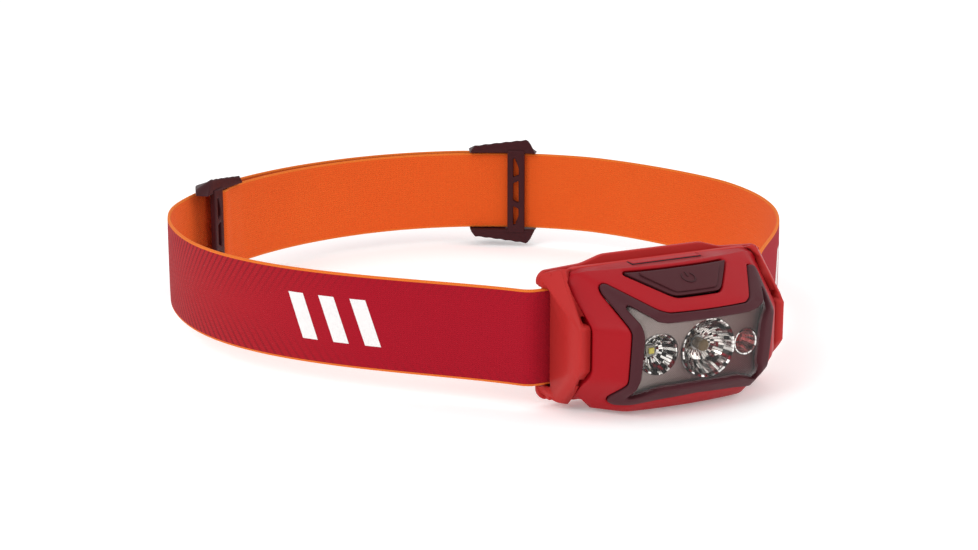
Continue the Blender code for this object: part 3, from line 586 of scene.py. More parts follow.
def mirror_material(name, place, facets, rows, seed):
    """Vacuum-coated reflector of small facets in rings round (x, z). Some facets are painted silver as
    painted glints, the rest near-black, some of these dark red, as painted reflections of the dark and red
    inside; the grooves between facets get painted shade.
    """
    mat, tree, shader = new_material(name)
    parts = axes(tree, object_place(tree))
    across = math_node(tree, "SUBTRACT", parts["X"], place[0] * MM)
    up = math_node(tree, "SUBTRACT", parts["Z"], place[1] * MM)
    turn = times(tree, math_node(tree, "ARCTAN2", up, across), facets / (2 * math.pi))
    reach = math_node(tree, "SQRT", add(tree, times(tree, across, across), times(tree, up, up)))
    row = times(tree, reach, rows / (place[2] * MM))
    cell = node(tree, "ShaderNodeCombineXYZ", {"X": math_node(tree, "FLOOR", turn),
                "Y": math_node(tree, "FLOOR", row), "Z": seed}).outputs[0]
    other_cell = node(tree, "ShaderNodeVectorMath", {0: cell, 1: (3.7, 1.3, 9.1)}, operation="ADD").outputs[0]
    # glint picks the facets painted silver as painted glints; tint picks the facets that get a painted red
    # reflection
    glint, tint = (node(tree, "ShaderNodeTexWhiteNoise", {"Vector": vector}).outputs["Value"]
                   for vector in (cell, other_cell))
    from_middle = math_node(tree, "SUBTRACT", math_node(tree, "FRACT", turn), 0.5)
    groove = span(tree, math_node(tree, "ABSOLUTE", from_middle), 0.38, 0.5, 1.0, 0.25)
    # painted shade: less silver along the grooves between facets
    share = times(tree, span(tree, glint, 0.34, 0.46), groove)
    # painted reflection: near-black facets, dark red where tint is high
    dark = mix_colours(tree, math_node(tree, "GREATER_THAN", tint, 0.6), (0.012, 0.01, 0.01, 1.0),
                       linear(104, 14, 24))
    wire(tree, shader.inputs, {
        "Base Color": mix_colours(tree, share, dark, (0.93, 0.93, 0.92, 1.0)),
        "Normal": bump(tree, groove, 0.6, 0.0002),
        "Metallic": 1.0,
        "Roughness": 0.1})
    return mat


def ribbed_panel_material(name):
    """Grey coated panel with a fine grid of ribs. Painted shade darkens it to the right and a painted red
    reflection makes it dark red low on the right; painted shade darkens the ribs' hollows.
    """
    mat, tree, shader = new_material(name)
    parts = axes(tree, object_place(tree))
    relief = times(tree, ripples(tree, parts["X"], 0.00045), ripples(tree, parts["Z"], 0.00045))
    # painted shade to the right and a painted red reflection low on the right
    side = span(tree, parts["X"], -0.016, 0.014)
    low = span(tree, parts["Z"], 0.004, -0.006)
    tone_with_painted_shade_and_reflection = mix_colours(tree, side, linear(160, 148, 145), linear(104, 74, 72))
    tone_with_painted_shade_and_reflection = mix_colours(tree, times(tree, low, side), tone_with_painted_shade_and_reflection, linear(84, 16, 26))
    wire(tree, shader.inputs, {
        # painted shade: darker where the ribs' relief is low
        "Base Color": shaded(tree, tone_with_painted_shade_and_reflection, span(tree, relief, -1.0, 1.0, 0.75, 1.1)),
        "Normal": bump(tree, relief, 0.5, 0.0001),
        "Metallic": 0.55,
        "Roughness": 0.3})
    return mat


def board_material(name):
    """Solder mask with copper tracks seen under it and a scatter of pads."""
    mat, tree, shader = new_material(name)
    cells = node(tree, "ShaderNodeTexVoronoi", {"Vector": object_place(tree), "Scale": 420.0},
                 distance="CHEBYCHEV").outputs["Distance"]
    tracks = span(tree, cells, 0.32, 0.36)
    base = mix_colours(tree, tracks, linear(16, 92, 52), linear(30, 120, 66))
    wire(tree, shader.inputs, {
        "Base Color": mix_colours(tree, span(tree, cells, 0.1, 0.08), base, linear(205, 190, 140)),
        "Normal": bump(tree, tracks, 0.3, 0.00005),
        "Roughness": 0.35})
    return mat


def cell_material(name):
    """Printed battery wrap: dark with a copper-coloured end band and bare metal ends."""
    mat, tree, shader = new_material(name)
    where = object_place(tree)
    from_middle = math_node(tree, "ABSOLUTE", axes(tree, where)["X"])
    band = math_node(tree, "GREATER_THAN", from_middle, 0.0135)
    ends = math_node(tree, "GREATER_THAN", from_middle, 0.0213)
    scuffs = noise(tree, where, 500.0, 5.0)
    wrap = mix_colours(tree, band, linear(34, 38, 44), linear(176, 112, 58))
    wrap = mix_colours(tree, times(tree, scuffs, 0.15), wrap, linear(150, 150, 150))
    wire(tree, shader.inputs, {
        "Base Color": mix_colours(tree, ends, wrap, linear(198, 198, 194)),
        "Metallic": math_node(tree, "MAXIMUM", ends, times(tree, band, 0.8)),
        "Normal": bump(tree, scuffs, 0.1, 0.0001),
        "Roughness": 0.32})
    return mat


# --- the lamp's outer surface ---

def front_surface(x, z):
    """Depth y of the lamp's front over (x, z): six facets, blended where they meet."""
    wide = abs(x)
    facets = [-29.45 + 0.0062 * x * x + 0.14 * (7.3 - z),          # window and face
              (z - 22.6 + 0.0035 * x * x) / TOP_SLOPE,             # sloping top with the button
              -18.0 - (26.9 - wide) * 1.318,                       # side
              -62.2 + 1.4245 * wide + 1.118 * z,                   # upper cheek
              -36.8 - z + 0.0047 * x * x,                          # chin
              -58.0 + 1.169 * wide - 1.1413 * z]                   # lower cheek
    nearest = max(facets)
    return nearest + BLEND * math.log(sum(math.exp((facet - nearest) / BLEND) for facet in facets))


def on_lamp(x, z, depth):
    """The point at a depth under the lamp's outer surface at (x, z)."""
    y = min(front_surface(x, z), BODY_REAR_Y - WALL) + ALONG_BEAM * depth
    return metres(x * (HALF_WIDTH - depth) / HALF_WIDTH, y, z * (HALF_HEIGHT - depth) / HALF_HEIGHT)


def on_lamp_rear(x, z, depth):
    """As on_lamp, but carried back to the lamp's rear edge."""
    point = on_lamp(x, z, depth)
    return Vector((point.x, BODY_REAR_Y * MM, point.z))


def lamp_shell(outline, holes, low, high, spacing, step, corner, edge, rear=None):
    """A shell that follows the lamp's front, from outlines with rounded corners."""
    outer = dense(rounded(outline, corner), step)
    inner = [dense(rounded(hole, corner), step) for hole in holes]
    return shell(outer, inner, low, high, on_lamp, spacing, edge, rear=rear)


def from_front(x, z, y):
    """A place for shells whose outline is seen from the front."""
    return metres(x, y, z)


def knuckle(bm, low, high):
    """A ring round the hinge pin between two places along it."""
    profile = [(HINGE_BORE, low), (HINGE_RADIUS, low), (HINGE_RADIUS, high), (HINGE_BORE, high)]
    turned(bm, profile, along_x(HINGE_Y, HINGE_Z), 32)


# --- bracket ---

def build_bracket(mat):
    """The back plate, the tray in front of the strap with the hinge's lugs, and two ears."""
    plate = [(0, 19.0), (14.5, 19.0), (20.5, 17.2), (31.5, 16.6), (33.0, 15.0), (33.0, 12.9), (31.4, 12.9),
             (31.4, -12.9), (33.0, -12.9), (33.0, -15.0), (31.5, -16.9), (0, -16.9)]
    outline = dense(rounded(mirrored(plate), 1.2), 4.0)
    bm = shell(outline, [], -1.5, 0.0, from_front, None, 0.3, 0.4)
    settle(add_object("bracket_plate", bm, mat), "bracket", "red_plastic", "bracket")

    wall = dense(rounded([(-27.0, 17.5), (27.0, 17.5), (27.0, -16.9), (-27.0, -16.9)], 2.5), 4.0)
    bm = shell(wall, [], -5.2, -3.7, from_front, None, 0.3, 0.0)
    block(bm, (-31.0, 31.0), (-4.0, -1.2), (12.9, 16.3))
    block(bm, (-31.0, 31.0), (-4.0, -1.2), (-16.4, -12.9))
    for side in (1, -1):
        low, high = sorted((side * 18.0, side * 21.8))
        block(bm, (low + 0.2, high - 0.2), (HINGE_Y, -4.4), (HINGE_Z - 1.35, HINGE_Z + 1.35))
        knuckle(bm, low, high)
    tray = add_object("bracket_tray", bm, mat)
    add_bevel(tray, 0.25, 2)
    settle(tray, "bracket", "red_plastic")
    for side, name in ((-1, "left"), (1, "right")):
        build_ear(side, name, mat)


def build_ear(side, name, mat):
    """The wing beside the lamp, with the slot that the strap comes out of."""
    points = [(23.0, -3.9, 16.6), (23.0, -4.8, 16.8), (28.5, -5.6, 17.8), (32.3, -1.2, 16.0),
              (33.0, -1.2, 14.0), (33.0, -1.2, -13.4), (32.3, -1.2, -14.9), (29.0, -1.2, 16.4),
              (29.0, -1.2, -16.2), (29.6, -5.4, -16.9), (23.0, -3.9, -16.4), (23.0, -4.8, -16.5),
              (30.0, -17.6, 5.2), (30.0, -17.6, -5.2), (26.4, -17.9, 5.4), (26.4, -17.9, -5.4),
              (27.6, -15.8, 7.4), (28.0, -13.3, -10.7), (27.4, -8.5, -16.9)]
    ear = add_object("bracket_ear_" + name, hull([(side * x, y, z) for x, y, z in points]), mat)
    add_bevel(ear, 0.45, 3, 12)
    room = offset_outline(mirrored(BODY_OUTLINE[:11] + [(27.6, -21.0), (0, -21.0)]), 0.3)
    carve(ear, shell(room, [], -40.0, -4.9, from_front))
    carve(ear, block(bmesh.new(), sorted((side * 20.0, side * 34.0)), (-3.7, 1.0), (-12.9, 12.9)))
    slot = dense(rounded([(1.0, 12.9), (-6.2, 12.9), (-6.2, -12.9), (1.0, -12.9)], 2.4, 8), 4.0)
    low, high = sorted((side * 29.6, side * 36.0))
    carve(ear, shell(slot, [], low, high, lambda y, z, x: metres(x, y, z)))
    for z, half in ((6.9, 1.0), (-9.2, 1.1)):
        notch = block(bmesh.new(), sorted((side * 26.0, side * 28.7)), (-17.4, -13.4), (z - half, z + half))
        carve(ear, notch)
    settle(ear, "bracket", "red_plastic")


# --- strap ---

def bezier(start, first, second, end, count):
    """Points along a cubic curve, without its start."""
    points = []
    for k in range(1, count + 1):
        t = k / count
        points.append((1 - t) ** 3 * start + 3 * (1 - t) ** 2 * t * first + 3 * (1 - t) * t * t * second
                      + t ** 3 * end)
    return points


def rear_point(side, angle, outward):
    """A point on one side's rear arc, at a distance outward from the inner layer's centre line."""
    turn = math.radians(angle)
    radius = ARC_RADIUS[side] + outward
    return Vector(ARC_CENTRE[side]) + Vector((math.sin(turn), math.cos(turn))) * radius


def side_path(side, exit_angle, widest, handles, outward):
    """The strap from the bracket's slot round one side of the head to the end of the rear arc."""
    sign = 1 if side == "right" else -1
    bend = Vector((sign * STRAP_EXIT_X[side], STRAP_Y))
    knee = Vector((sign * (STRAP_EXIT_X[side] + BEND_REACH), STRAP_Y))
    turn = math.radians(exit_angle)
    heading = Vector((sign * math.cos(turn), math.sin(turn)))
    start = knee + heading * BEND_REACH
    corner = [bend * (1 - t) ** 2 + knee * 2 * t * (1 - t) + start * t * t
              for t in (0.0, 0.25, 0.5, 0.75, 1.0)]
    widest = Vector(widest)
    back = Vector((0.0, 1.0))
    end = rear_point(side, ARC_END[side], outward)
    end_turn = math.radians(ARC_END[side])
    tangent = Vector((-sign * math.cos(end_turn), sign * math.sin(end_turn)))
    front = bezier(start, start + heading * (handles[0] - BEND_REACH), widest - back * handles[1], widest,
                   int(110 / STRAP_STEP))
    rear = bezier(widest, widest + back * handles[2], end - tangent * handles[3], end, int(60 / STRAP_STEP))
    return corner + front + rear


def arc_points(side, first, last, outward):
    count = max(2, math.ceil(abs(math.radians(last - first)) * ARC_RADIUS[side] / STRAP_STEP))
    return [rear_point(side, first + (last - first) * k / count, outward) for k in range(count + 1)]


def join_angle(side):
    """Where the loop ends and the strap end held by an adjuster begins, in degrees on that side's arc."""
    toward = 1 if side == "left" else -1
    reach = math.degrees(LINK_REACH / ARC_RADIUS[side])
    return ADJUSTER_ANGLE[side] + toward * (ADJUSTER_IN[side] + reach)


def loop_path():
    """Centre line from the inner layer's join, round right, lamp and left, to the outer layer's join."""
    right = side_path("right", 65.3, (80.0, 84.0), (18.3, 49.1, 14.7, 14.8), 0.0)
    left = side_path("left", 52.6, (-93.3, 89.0), (28.4, 43.9, 11.1, 17.6), LAYER_STEP)
    inner = arc_points("left", join_angle("left"), ARC_JOIN, 0.0)
    inner += arc_points("right", ARC_JOIN, ARC_END["right"], 0.0)[1:-1]
    outer = arc_points("left", ARC_END["left"], ARC_JOIN, LAYER_STEP)[1:]
    outer += arc_points("right", ARC_JOIN, join_angle("right"), LAYER_STEP)[1:]
    return inner + list(reversed(right)) + left + outer


def lamp_length(path, lengths):
    """Length along the strap at the middle of the lamp, where it lies straight between the two slots."""
    k = next(k for k in range(len(path) - 1) if path[k].x > 0 > path[k + 1].x and path[k].y < 0)
    return (lengths[k] + lengths[k + 1]) / 2


def lengths_along(path):
    """The length along a path at each of its points."""
    lengths = [0.0]
    for before, after in zip(path, path[1:]):
        lengths.append(lengths[-1] + (after - before).length)
    return lengths


def strap_crown(z):
    """Half the strap's thickness at a height: the selvedges are a little thinner."""
    return STRAP_HALF_THICK - 0.1 * (abs(z) / STRAP_HALF) ** 4


def strap_section():
    """(offset outward, height, material) round the strap's cross-section; material 0 out, 1 in, 2 edge."""
    rows, top = 10, STRAP_HALF - 0.6
    face = [(strap_crown(z), z) for z in (-top + 2 * top * k / rows for k in range(rows + 1))]
    edge = [(0.36, 12.35), (0.15, STRAP_HALF), (-0.15, STRAP_HALF), (-0.36, 12.35)]
    section = [(n, z, 0) for n, z in face] + [(n, z, 2) for n, z in edge]
    section += [(-n, z, 1) for n, z in reversed(face)] + [(-n, -z, 2) for n, z in edge]
    return section


def band(name, path, materials):
    """A woven band swept along a level path, with its coordinates in the map named strap."""
    section = strap_section()
    lengths = lengths_along(path)
    bm = bmesh.new()
    uv_layer = bm.loops.layers.uv.new("strap")
    rings = []
    for k, point in enumerate(path):
        ahead = path[min(k + 1, len(path) - 1)] - path[max(k - 1, 0)]
        out = Vector((-ahead.y, ahead.x)).normalized()
        rings.append([bm.verts.new(metres(point.x + out.x * n, point.y + out.y * n, z))
                      for n, z, _ in section])
    count = len(section)
    for k in range(len(path) - 1):
        for j in range(count):
            face = bm.faces.new((rings[k][j - 1], rings[k][j], rings[k + 1][j], rings[k + 1][j - 1]))
            face.material_index = section[j][2] if section[j][2] == section[j - 1][2] else 2
            corner_values = ((k, j - 1), (k, j), (k + 1, j), (k + 1, j - 1))
            for loop, (along, around) in zip(face.loops, corner_values):
                loop[uv_layer].uv = (lengths[along] * MM, section[around][1] * MM)
    for ring, length in ((rings[0], lengths[0]), (rings[-1], lengths[-1])):
        cap = bm.faces.new(ring)
        cap.material_index = 2
        for loop in cap.loops:
            loop[uv_layer].uv = (length * MM, 0.0)
    return add_object(name, bm, *materials, sharp=50)


def build_marks(path, lengths, mat):
    """Three short slanted reflective bars on each side of the lamp, printed on the strap's outer face."""
    lamp = lamp_length(path, lengths)
    for side, name in ((1, "right"), (-1, "left")):
        bm = bmesh.new()
        for number in range(3):
            add_mark_bar(bm, path, lengths, lamp - side * (MARKS_FROM_LAMP + number * 9.0), -side)
        settle(add_object("reflective_marks_" + name, bm, mat), "bracket", "strap_fabric")


def add_mark_bar(bm, path, lengths, start, lean):
    """One slanted bar, just proud of the strap."""
    rows, columns = 12, 4
    width, height, slant, thick, sunk = 4.4, 12.0, 0.35, 0.09, 0.02
    grid = []
    for level in (0.0, thick):
        sheet = []
        for j in range(rows + 1):
            z = height * (j / rows - 0.5)
            line = []
            for i in range(columns + 1):
                point, out = point_at(path, lengths, start + lean * z * slant + width * i / columns)
                reach = strap_crown(z) - sunk + level
                line.append(bm.verts.new(metres(point.x + out.x * reach, point.y + out.y * reach, z)))
            sheet.append(line)
        for j in range(rows):
            for i in range(columns):
                bm.faces.new((sheet[j][i], sheet[j][i + 1], sheet[j + 1][i + 1], sheet[j + 1][i]))
        grid.append(sheet)
    border = [(0, i) for i in range(columns)] + [(j, columns) for j in range(rows)]
    border += [(rows, i) for i in range(columns, 0, -1)] + [(j, 0) for j in range(rows, 0, -1)]
    for k in range(len(border)):
        (j0, i0), (j1, i1) = border[k - 1], border[k]
        bm.faces.new((grid[0][j0][i0], grid[0][j1][i1], grid[1][j1][i1], grid[1][j0][i0]))


def point_at(path, lengths, s):
    """The path's point and outward direction at a length along it."""
    k = max(i for i in range(len(lengths) - 1) if lengths[i] <= s)
    share = (s - lengths[k]) / (lengths[k + 1] - lengths[k])
    point = path[k].lerp(path[k + 1], share)
    ahead = path[min(k + 2, len(path) - 1)] - path[max(k - 1, 0)]
    return point, Vector((-ahead.y, ahead.x)).normalized()


def at_adjuster(side, inward, outward, z):
    """A point by its distance along the strap toward the back's middle, its distance out, and its height."""
    angle = ADJUSTER_ANGLE[side] + (1 if side == "left" else -1) * math.degrees(inward / ARC_RADIUS[side])
    point = rear_point(side, angle, outward)
    return metres(point.x, point.y, z)


def link_span(side):
    """Length of the strap end, from its adjuster's ladder bar to the join."""
    return abs(math.radians(join_angle(side) - ADJUSTER_ANGLE[side])) * ARC_RADIUS[side]


def link_path(side):
    """Centre line of the strap end: from the join, toward the adjuster, round its bar and back outside."""
    span_length = link_span(side)
    count = int((span_length - FOLD_START) / STRAP_STEP)
    flat = [(span_length + (FOLD_START - span_length) * k / count, 0.0) for k in range(count + 1)]
    flat += [(17.0, -0.12), (15.0, -0.45), (13.0, -0.72), (11.0, -0.82), (9.5, -1.0), (8.0, -1.5)]
    for k in range(9):
        turn = -math.pi / 2 - math.pi * k / 8
        flat.append((ANCHOR_BAR + 1.9 * math.cos(turn), 1.9 * math.sin(turn)))
    flat += [(8.0, 1.5), (9.5, 1.0), (11.0, 0.85), (13.0, 0.85), (14.5, 0.85)]
    points = []
    for inward, outward in flat:
        place = at_adjuster(side, inward, outward + LINK_LEVEL[side], 0.0)
        points.append(Vector((place.x / MM, place.y / MM)))
    return points


def build_link(side, materials, thread):
    """The strap end: fixed to the loop at one end and to the adjuster at the other."""
    # the band's first material faces left of the way the path runs, which is inward on the left link
    faces = (1, 0, 2) if side == "left" else (0, 1, 2)
    link = band("strap_link_" + side, link_path(side), [materials[k] for k in faces])
    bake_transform(link)
    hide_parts("strap_end_" + side)
    settle(build_stitches(side, thread), "adjuster_" + side, "strap_fabric")


def build_stitches(side, thread):
    """Two rows of thread on the folded end's outer face."""
    outward = 0.85 + STRAP_HALF_THICK + LINK_LEVEL[side]
    bm = bmesh.new()
    for inward in (10.6, 12.9):
        for k in range(11):
            centre = at_adjuster(side, inward, outward, -10.5 + 2.1 * k)
            for vert in bmesh.ops.create_icosphere(bm, subdivisions=1, radius=1.0)["verts"]:
                vert.co = Vector((vert.co.x * 0.00022, vert.co.y * 0.00022, vert.co.z * 0.00075)) + centre
    return add_object("stitches_" + side, bm, thread)


# --- adjusters ---

def flange_point(side, inward, z, outward):
    """A point of an adjuster's flange, which gets lower away from the head and shallow at its outer end."""
    foot = math.copysign(STRAP_HALF + 0.4, z)
    height = (z - foot) * (1.0 - 0.75 * (outward - FLANGE_DEPTH[0]) / (FLANGE_DEPTH[1] - FLANGE_DEPTH[0]))
    if outward > 0:
        outward *= min(1.0, 0.25 + max(0.0, inward + 6.5) / 12.0)
    return at_adjuster(side, inward, outward, foot + height)


def build_adjuster(side, mat):
    """The ladder bar with its three openings, two flanges, the anchor bar and, on the left, a keeper."""
    half = STRAP_HALF + 0.4

    def place(inward, z, outward):
        return at_adjuster(side, inward, outward, z)

    def flange_place(inward, z, outward):
        return flange_point(side, inward, z, outward)

    windows = [[(-0.9, 11.2), (-0.3, 11.2), (0.95, 8.0), (0.95, 5.7), (-0.9, 4.9)],
               [(-0.9, 2.9), (0.95, 3.7), (0.95, -3.7), (-0.9, -2.9)],
               [(-0.9, -4.9), (0.95, -5.7), (0.95, -8.0), (-0.3, -11.2), (-0.9, -11.2)]]
    if side == "right":
        windows = [[(-t, z) for t, z in window] for window in windows]
    windows = [dense(rounded(window, 0.35, 3), 3.0) for window in windows]
    ladder = [(-2.9, half + 1.0), (2.9, half + 1.0), (2.9, -half - 1.0), (-2.9, -half - 1.0)]
    bm = shell(dense(ladder, 3.0), windows, -2.9, -1.3, place, None, 0.35, 0.2)
    for sign in (1, -1):
        outline = [(t, sign * z) for t, z in dense(flange_outline(half), 2.0)]
        join(bm, shell(outline, [], *FLANGE_DEPTH, flange_place, None, 0.5, 0.5))
    level = LINK_LEVEL[side]
    bars = [(ANCHOR_BAR - 0.8, ANCHOR_BAR + 0.8, level - 0.8, level + 0.8, half + 1)]
    if side == "left":
        bars.append((2.8, 4.8, LAYER_STEP + 1.1, LAYER_STEP + 2.0, half + 0.6))
    for first, last, inner, outer, end in bars:
        outline = [(first, end), (last, end), (last, -end), (first, -end)]
        join(bm, shell(dense(outline, 4.0), [], inner, outer, place, None, 0.25, 0.25))
    adjuster = add_object("adjuster_body_" + side, bm, mat)
    settle(adjuster, "adjuster_" + side, "adjuster_plastic", "adjuster_" + side)


def flange_outline(half):
    """The grip above the strap: tallest beside the ladder bar, waved along its top, low toward the middle."""
    outline = [(-6.5, half), (-5.0, half + 3.2), (-4.2, half + 4.3)]
    waves, steps = 5, 30
    for k in range(steps + 1):
        t = -3.4 + 17.4 * k / steps
        height = 4.7 - 2.2 * k / steps
        outline.append((t, half + height + 0.1 * math.cos(2 * math.pi * waves * k / steps)))
    outline += [(15.2, half + 1.0), (15.6, half)]
    return outline


# --- lamp head ---

def build_housing(mat):
    """The red front shell, open for the window's frame, the button, the latch and the hinge."""
    opening = offset_outline(mirrored(FRAME_OUTER), 0.18)
    bm = lamp_shell(mirrored(BODY_OUTLINE), [opening, mirrored(BUTTON)], 0.0, WALL, 1.0, 1.2, 0.8, 0.3,
                    rear=on_lamp_rear)
    housing = add_object("housing_shell", bm, mat, sharp=60)
    add_latch_and_hinge(housing, mat)
    settle(housing, "lamp_head", "red_housing", "front_housing")


def add_latch_and_hinge(housing, mat):
    """Cut the openings for the latch and the hinge, and add the latch and the hinge's knuckles."""
    carve(housing, block(bmesh.new(), (-10.3, 10.3), (-8.9, -4.0), (14.0, 20.0)))
    carve(housing, block(bmesh.new(), (-30.0, 30.0), (-11.0, -4.0), (-20.0, -14.9)))
    bm = bmesh.new()
    boss = [(0.75, 0.0), (1.7, 0.0), (1.7, 4.4), (0.75, 4.4)]
    for side in (1, -1):
        low, high = sorted((side * 12.4, side * 17.4))
        knuckle(bm, low, high)
        block(bm, (low + 0.2, high - 0.2), (-12.5, -8.6), (-17.4, -16.1))
        turned(bm, boss, along_beam(side * 20.6, -19.4, 4.5), 24)
    settle(add_object("housing_knuckles", bm, mat), "lamp_head", "red_housing")
    latch = add_object("case_latch", block(bmesh.new(), (-9.95, 9.95), (-8.55, -5.75), (16.2, 17.72)), mat)
    add_bevel(latch, 0.25, 3)
    settle(latch, "battery_case", "case_plastic")


def build_frame_and_window(frame_mat, clear):
    """The dark frame and the clear window that it holds."""
    bm = lamp_shell(mirrored(FRAME_OUTER), [mirrored(WINDOW)], -0.35, 1.1, 0.9, 1.0, 0.7, 0.35)
    bezel = add_object("window_frame", bm, frame_mat, sharp=60)
    settle(bezel, "lamp_head", "bezel_rubber", "window_bezel")
    bm = lamp_shell(offset_outline(mirrored(WINDOW), 0.45), [], 0.6, 1.3, 1.2, 1.5, 0.6, 0.1)
    window = add_object("window_glass", bm, clear, sharp=60)
    settle(window, "lamp_head", "clear_plastic", "window_lens")


def under_window(x, z, depth):
    """As on_lamp, but straight back along the beam, so that round holes stay round."""
    return metres(x, front_surface(x, z) + ALONG_BEAM * depth, z)


def build_panel(mat):
    """The ribbed panel behind the window, with a round hole for each reflector."""
    holes = [circle(x, z, radius + 0.05) for x, z, radius in (SPOT, FLOOD, RED)]
    outline = offset_outline(mirrored(WINDOW), 0.1)
    bm = shell(dense(rounded(outline, 0.8), 1.2), holes, 2.5, 3.0, under_window, 1.0, 0.15)
    panel = add_object("light_panel", bm, mat, sharp=60)
    settle(panel, "lamp_head", "panel_grey", "reflector_panel")


def build_well(mat):
    """The wall between the window's frame and the panel behind it, coloured near-black red as painted shade.
    """
    window = mirrored(WINDOW)
    outer = dense(rounded(offset_outline(window, 0.75), 0.8), 1.2)
    inner = dense(rounded(offset_outline(window, 0.25), 0.8), 1.2)
    well = add_object("light_well", shell(outer, [inner], 1.4, 6.0, under_window, None, 0.1), mat, sharp=60)
    settle(well, "lamp_head", "bezel_rubber")


def dish_profile(radius, throat, depth, steps):
    """A parabolic dish with a rolled lip at its mouth."""
    lip, wall = 0.45, 0.35

    def bowl(share):
        return throat + (radius - lip - throat) * math.sqrt(share), depth * share

    profile = [bowl(k / steps) for k in range(steps + 1)]
    profile += [(radius - lip * 0.5, depth + 0.18), (radius, depth + 0.05), (radius, depth - 0.4)]
    return profile + [(r + wall, along) for r, along in map(bowl, (0.75, 0.5, 0.25, 0.0))]


def build_optics(clear, ruby):
    """Three faceted dishes, the red light's dome and the spot's lens ring."""
    rear_y = -20.7
    dishes = [("spot_dish", SPOT, (1.9, 5.3, 12), 68, 70, (44, 9.0, 2.0), ["spot_reflector"]),
              ("flood_dish", FLOOD, (1.8, 4.3, 5), 20, 8, (28, 7.0, 5.0), ["flood_reflector"]),
              ("red_dish", RED, (1.4, 4.3, 8), 40, 70, (14, 2.0, 7.0), [])]
    for name, light, bowl, sides, sharp, facets, nodes in dishes:
        x, z, radius = light
        bm = turned(bmesh.new(), dish_profile(radius, *bowl), along_beam(x, rear_y, z), sides)
        mirror = mirror_material(name + "_facets", light, *facets)
        settle(add_object(name, bm, mirror, sharp=sharp), "lamp_head", "reflector_metal", *nodes)
    dome = [(0, 0), (2.6, 0), (2.6, 1.5), (2.2, 1.9), (1.9, 1.7), (1.6, 2.3), (1.2, 2.6), (0.9, 2.5),
            (0.6, 2.9), (0, 3.0)]
    bm = turned(bmesh.new(), dome, along_beam(RED[0], -21.7, RED[1]), 40)
    settle(add_object("red_dome", bm, ruby, sharp=70), "lamp_head", "clear_plastic", "red_dome_lens")
    ring = [(1.75, 0.0), (2.7, 0.0), (3.0, 1.2), (2.95, 2.1), (2.6, 2.4), (2.1, 2.2), (1.8, 1.6)]
    bm = turned(bmesh.new(), ring, along_beam(SPOT[0], -22.3, SPOT[1]), 48)
    settle(add_object("spot_ring", bm, clear, sharp=70), "lamp_head", "clear_plastic", "spot_lens")


def build_emitters(substrate, spot_glow, flood_glow):
    """The two white LEDs: a domed disc in the spot's lens, and a small square chip on its base."""
    eye = [(0, 0), (1.5, 0), (1.6, 2.6), (1.45, 3.0), (1.0, 3.25), (0, 3.35)]
    bm = turned(bmesh.new(), eye, along_beam(SPOT[0], -20.75, SPOT[1]), 40)
    settle(add_object("spot_emitter", bm, spot_glow, sharp=50), "lamp_head", "led_yellow", "spot_led")
    x, z = FLOOD[:2]
    for name, half, depth, mat, bevel, nodes in (
            ("flood_base", 1.3, (-21.1, -20.6), substrate, (0.1, 2), []),
            ("flood_emitter", 0.75, (-21.6, -21.08), flood_glow, (0.2, 3), ["flood_led"])):
        square = block(bmesh.new(), (x - half, x + half), depth, (z - half, z + half))
        square = add_object(name, square, mat)
        add_bevel(square, *bevel)
        settle(square, "lamp_head", "led_yellow", *nodes)


def build_button(mat, symbol_mat):
    """The button with a raised pad and a moulded power symbol."""
    outer = offset_outline(mirrored(BUTTON), -0.35)
    bm = lamp_shell(outer, [], -0.25, 0.9, 0.9, 1.2, 0.9, 0.3)
    join(bm, lamp_shell(mirrored(BUTTON_PAD), [], -0.7, 0.2, 0.8, 1.0, 0.6, 0.3))
    settle(add_object("button_pad", bm, mat, sharp=60), "button", "button_rubber", "power_button")

    middle_z = 14.75
    turns = [math.radians(90 + degrees) for degrees in range(40, 321, 20)]
    bm = bmesh.new()
    add_line(bm, [(1.7 * math.cos(turn), middle_z + 0.75 * math.sin(turn)) for turn in turns], 0.22)
    add_line(bm, [(0.0, middle_z + 0.1), (0.0, middle_z + 0.85)], 0.22)
    settle(add_object("button_symbol", bm, symbol_mat), "button", "button_rubber")


def add_line(bm, points, half_width):
    """A raised line over the button's pad."""
    foot, top = -0.6, -0.86
    rings = []
    for k, (x, z) in enumerate(points):
        ahead = Vector(points[min(k + 1, len(points) - 1)]) - Vector(points[max(k - 1, 0)])
        side = Vector((-ahead.y, ahead.x)).normalized() * half_width
        side.y *= 0.5
        rings.append([bm.verts.new(on_lamp(x + side.x * share, z + side.y * share, depth))
                      for share, depth in ((1.0, foot), (0.6, top), (-0.6, top), (-1.0, foot))])
    for first, second in zip(rings, rings[1:]):
        for j in range(4):
            bm.faces.new((first[j - 1], first[j], second[j], second[j - 1]))
    bm.faces.new(rings[0])
    bm.faces.new(rings[-1])


# --- CAD nodes that are kept ---

def finish_cad_nodes(materials):
    """Give each CAD node that stays visible a finished material, and soften its edges."""
    for name, (mat, bevel) in materials.items():
        obj = NODES[name]
        obj.data.materials.clear()
        obj.data.materials.append(mat)
        if bevel:
            add_bevel(obj, bevel, 2, 35)


# --- studio ---

FLOOR_Z = -0.0186


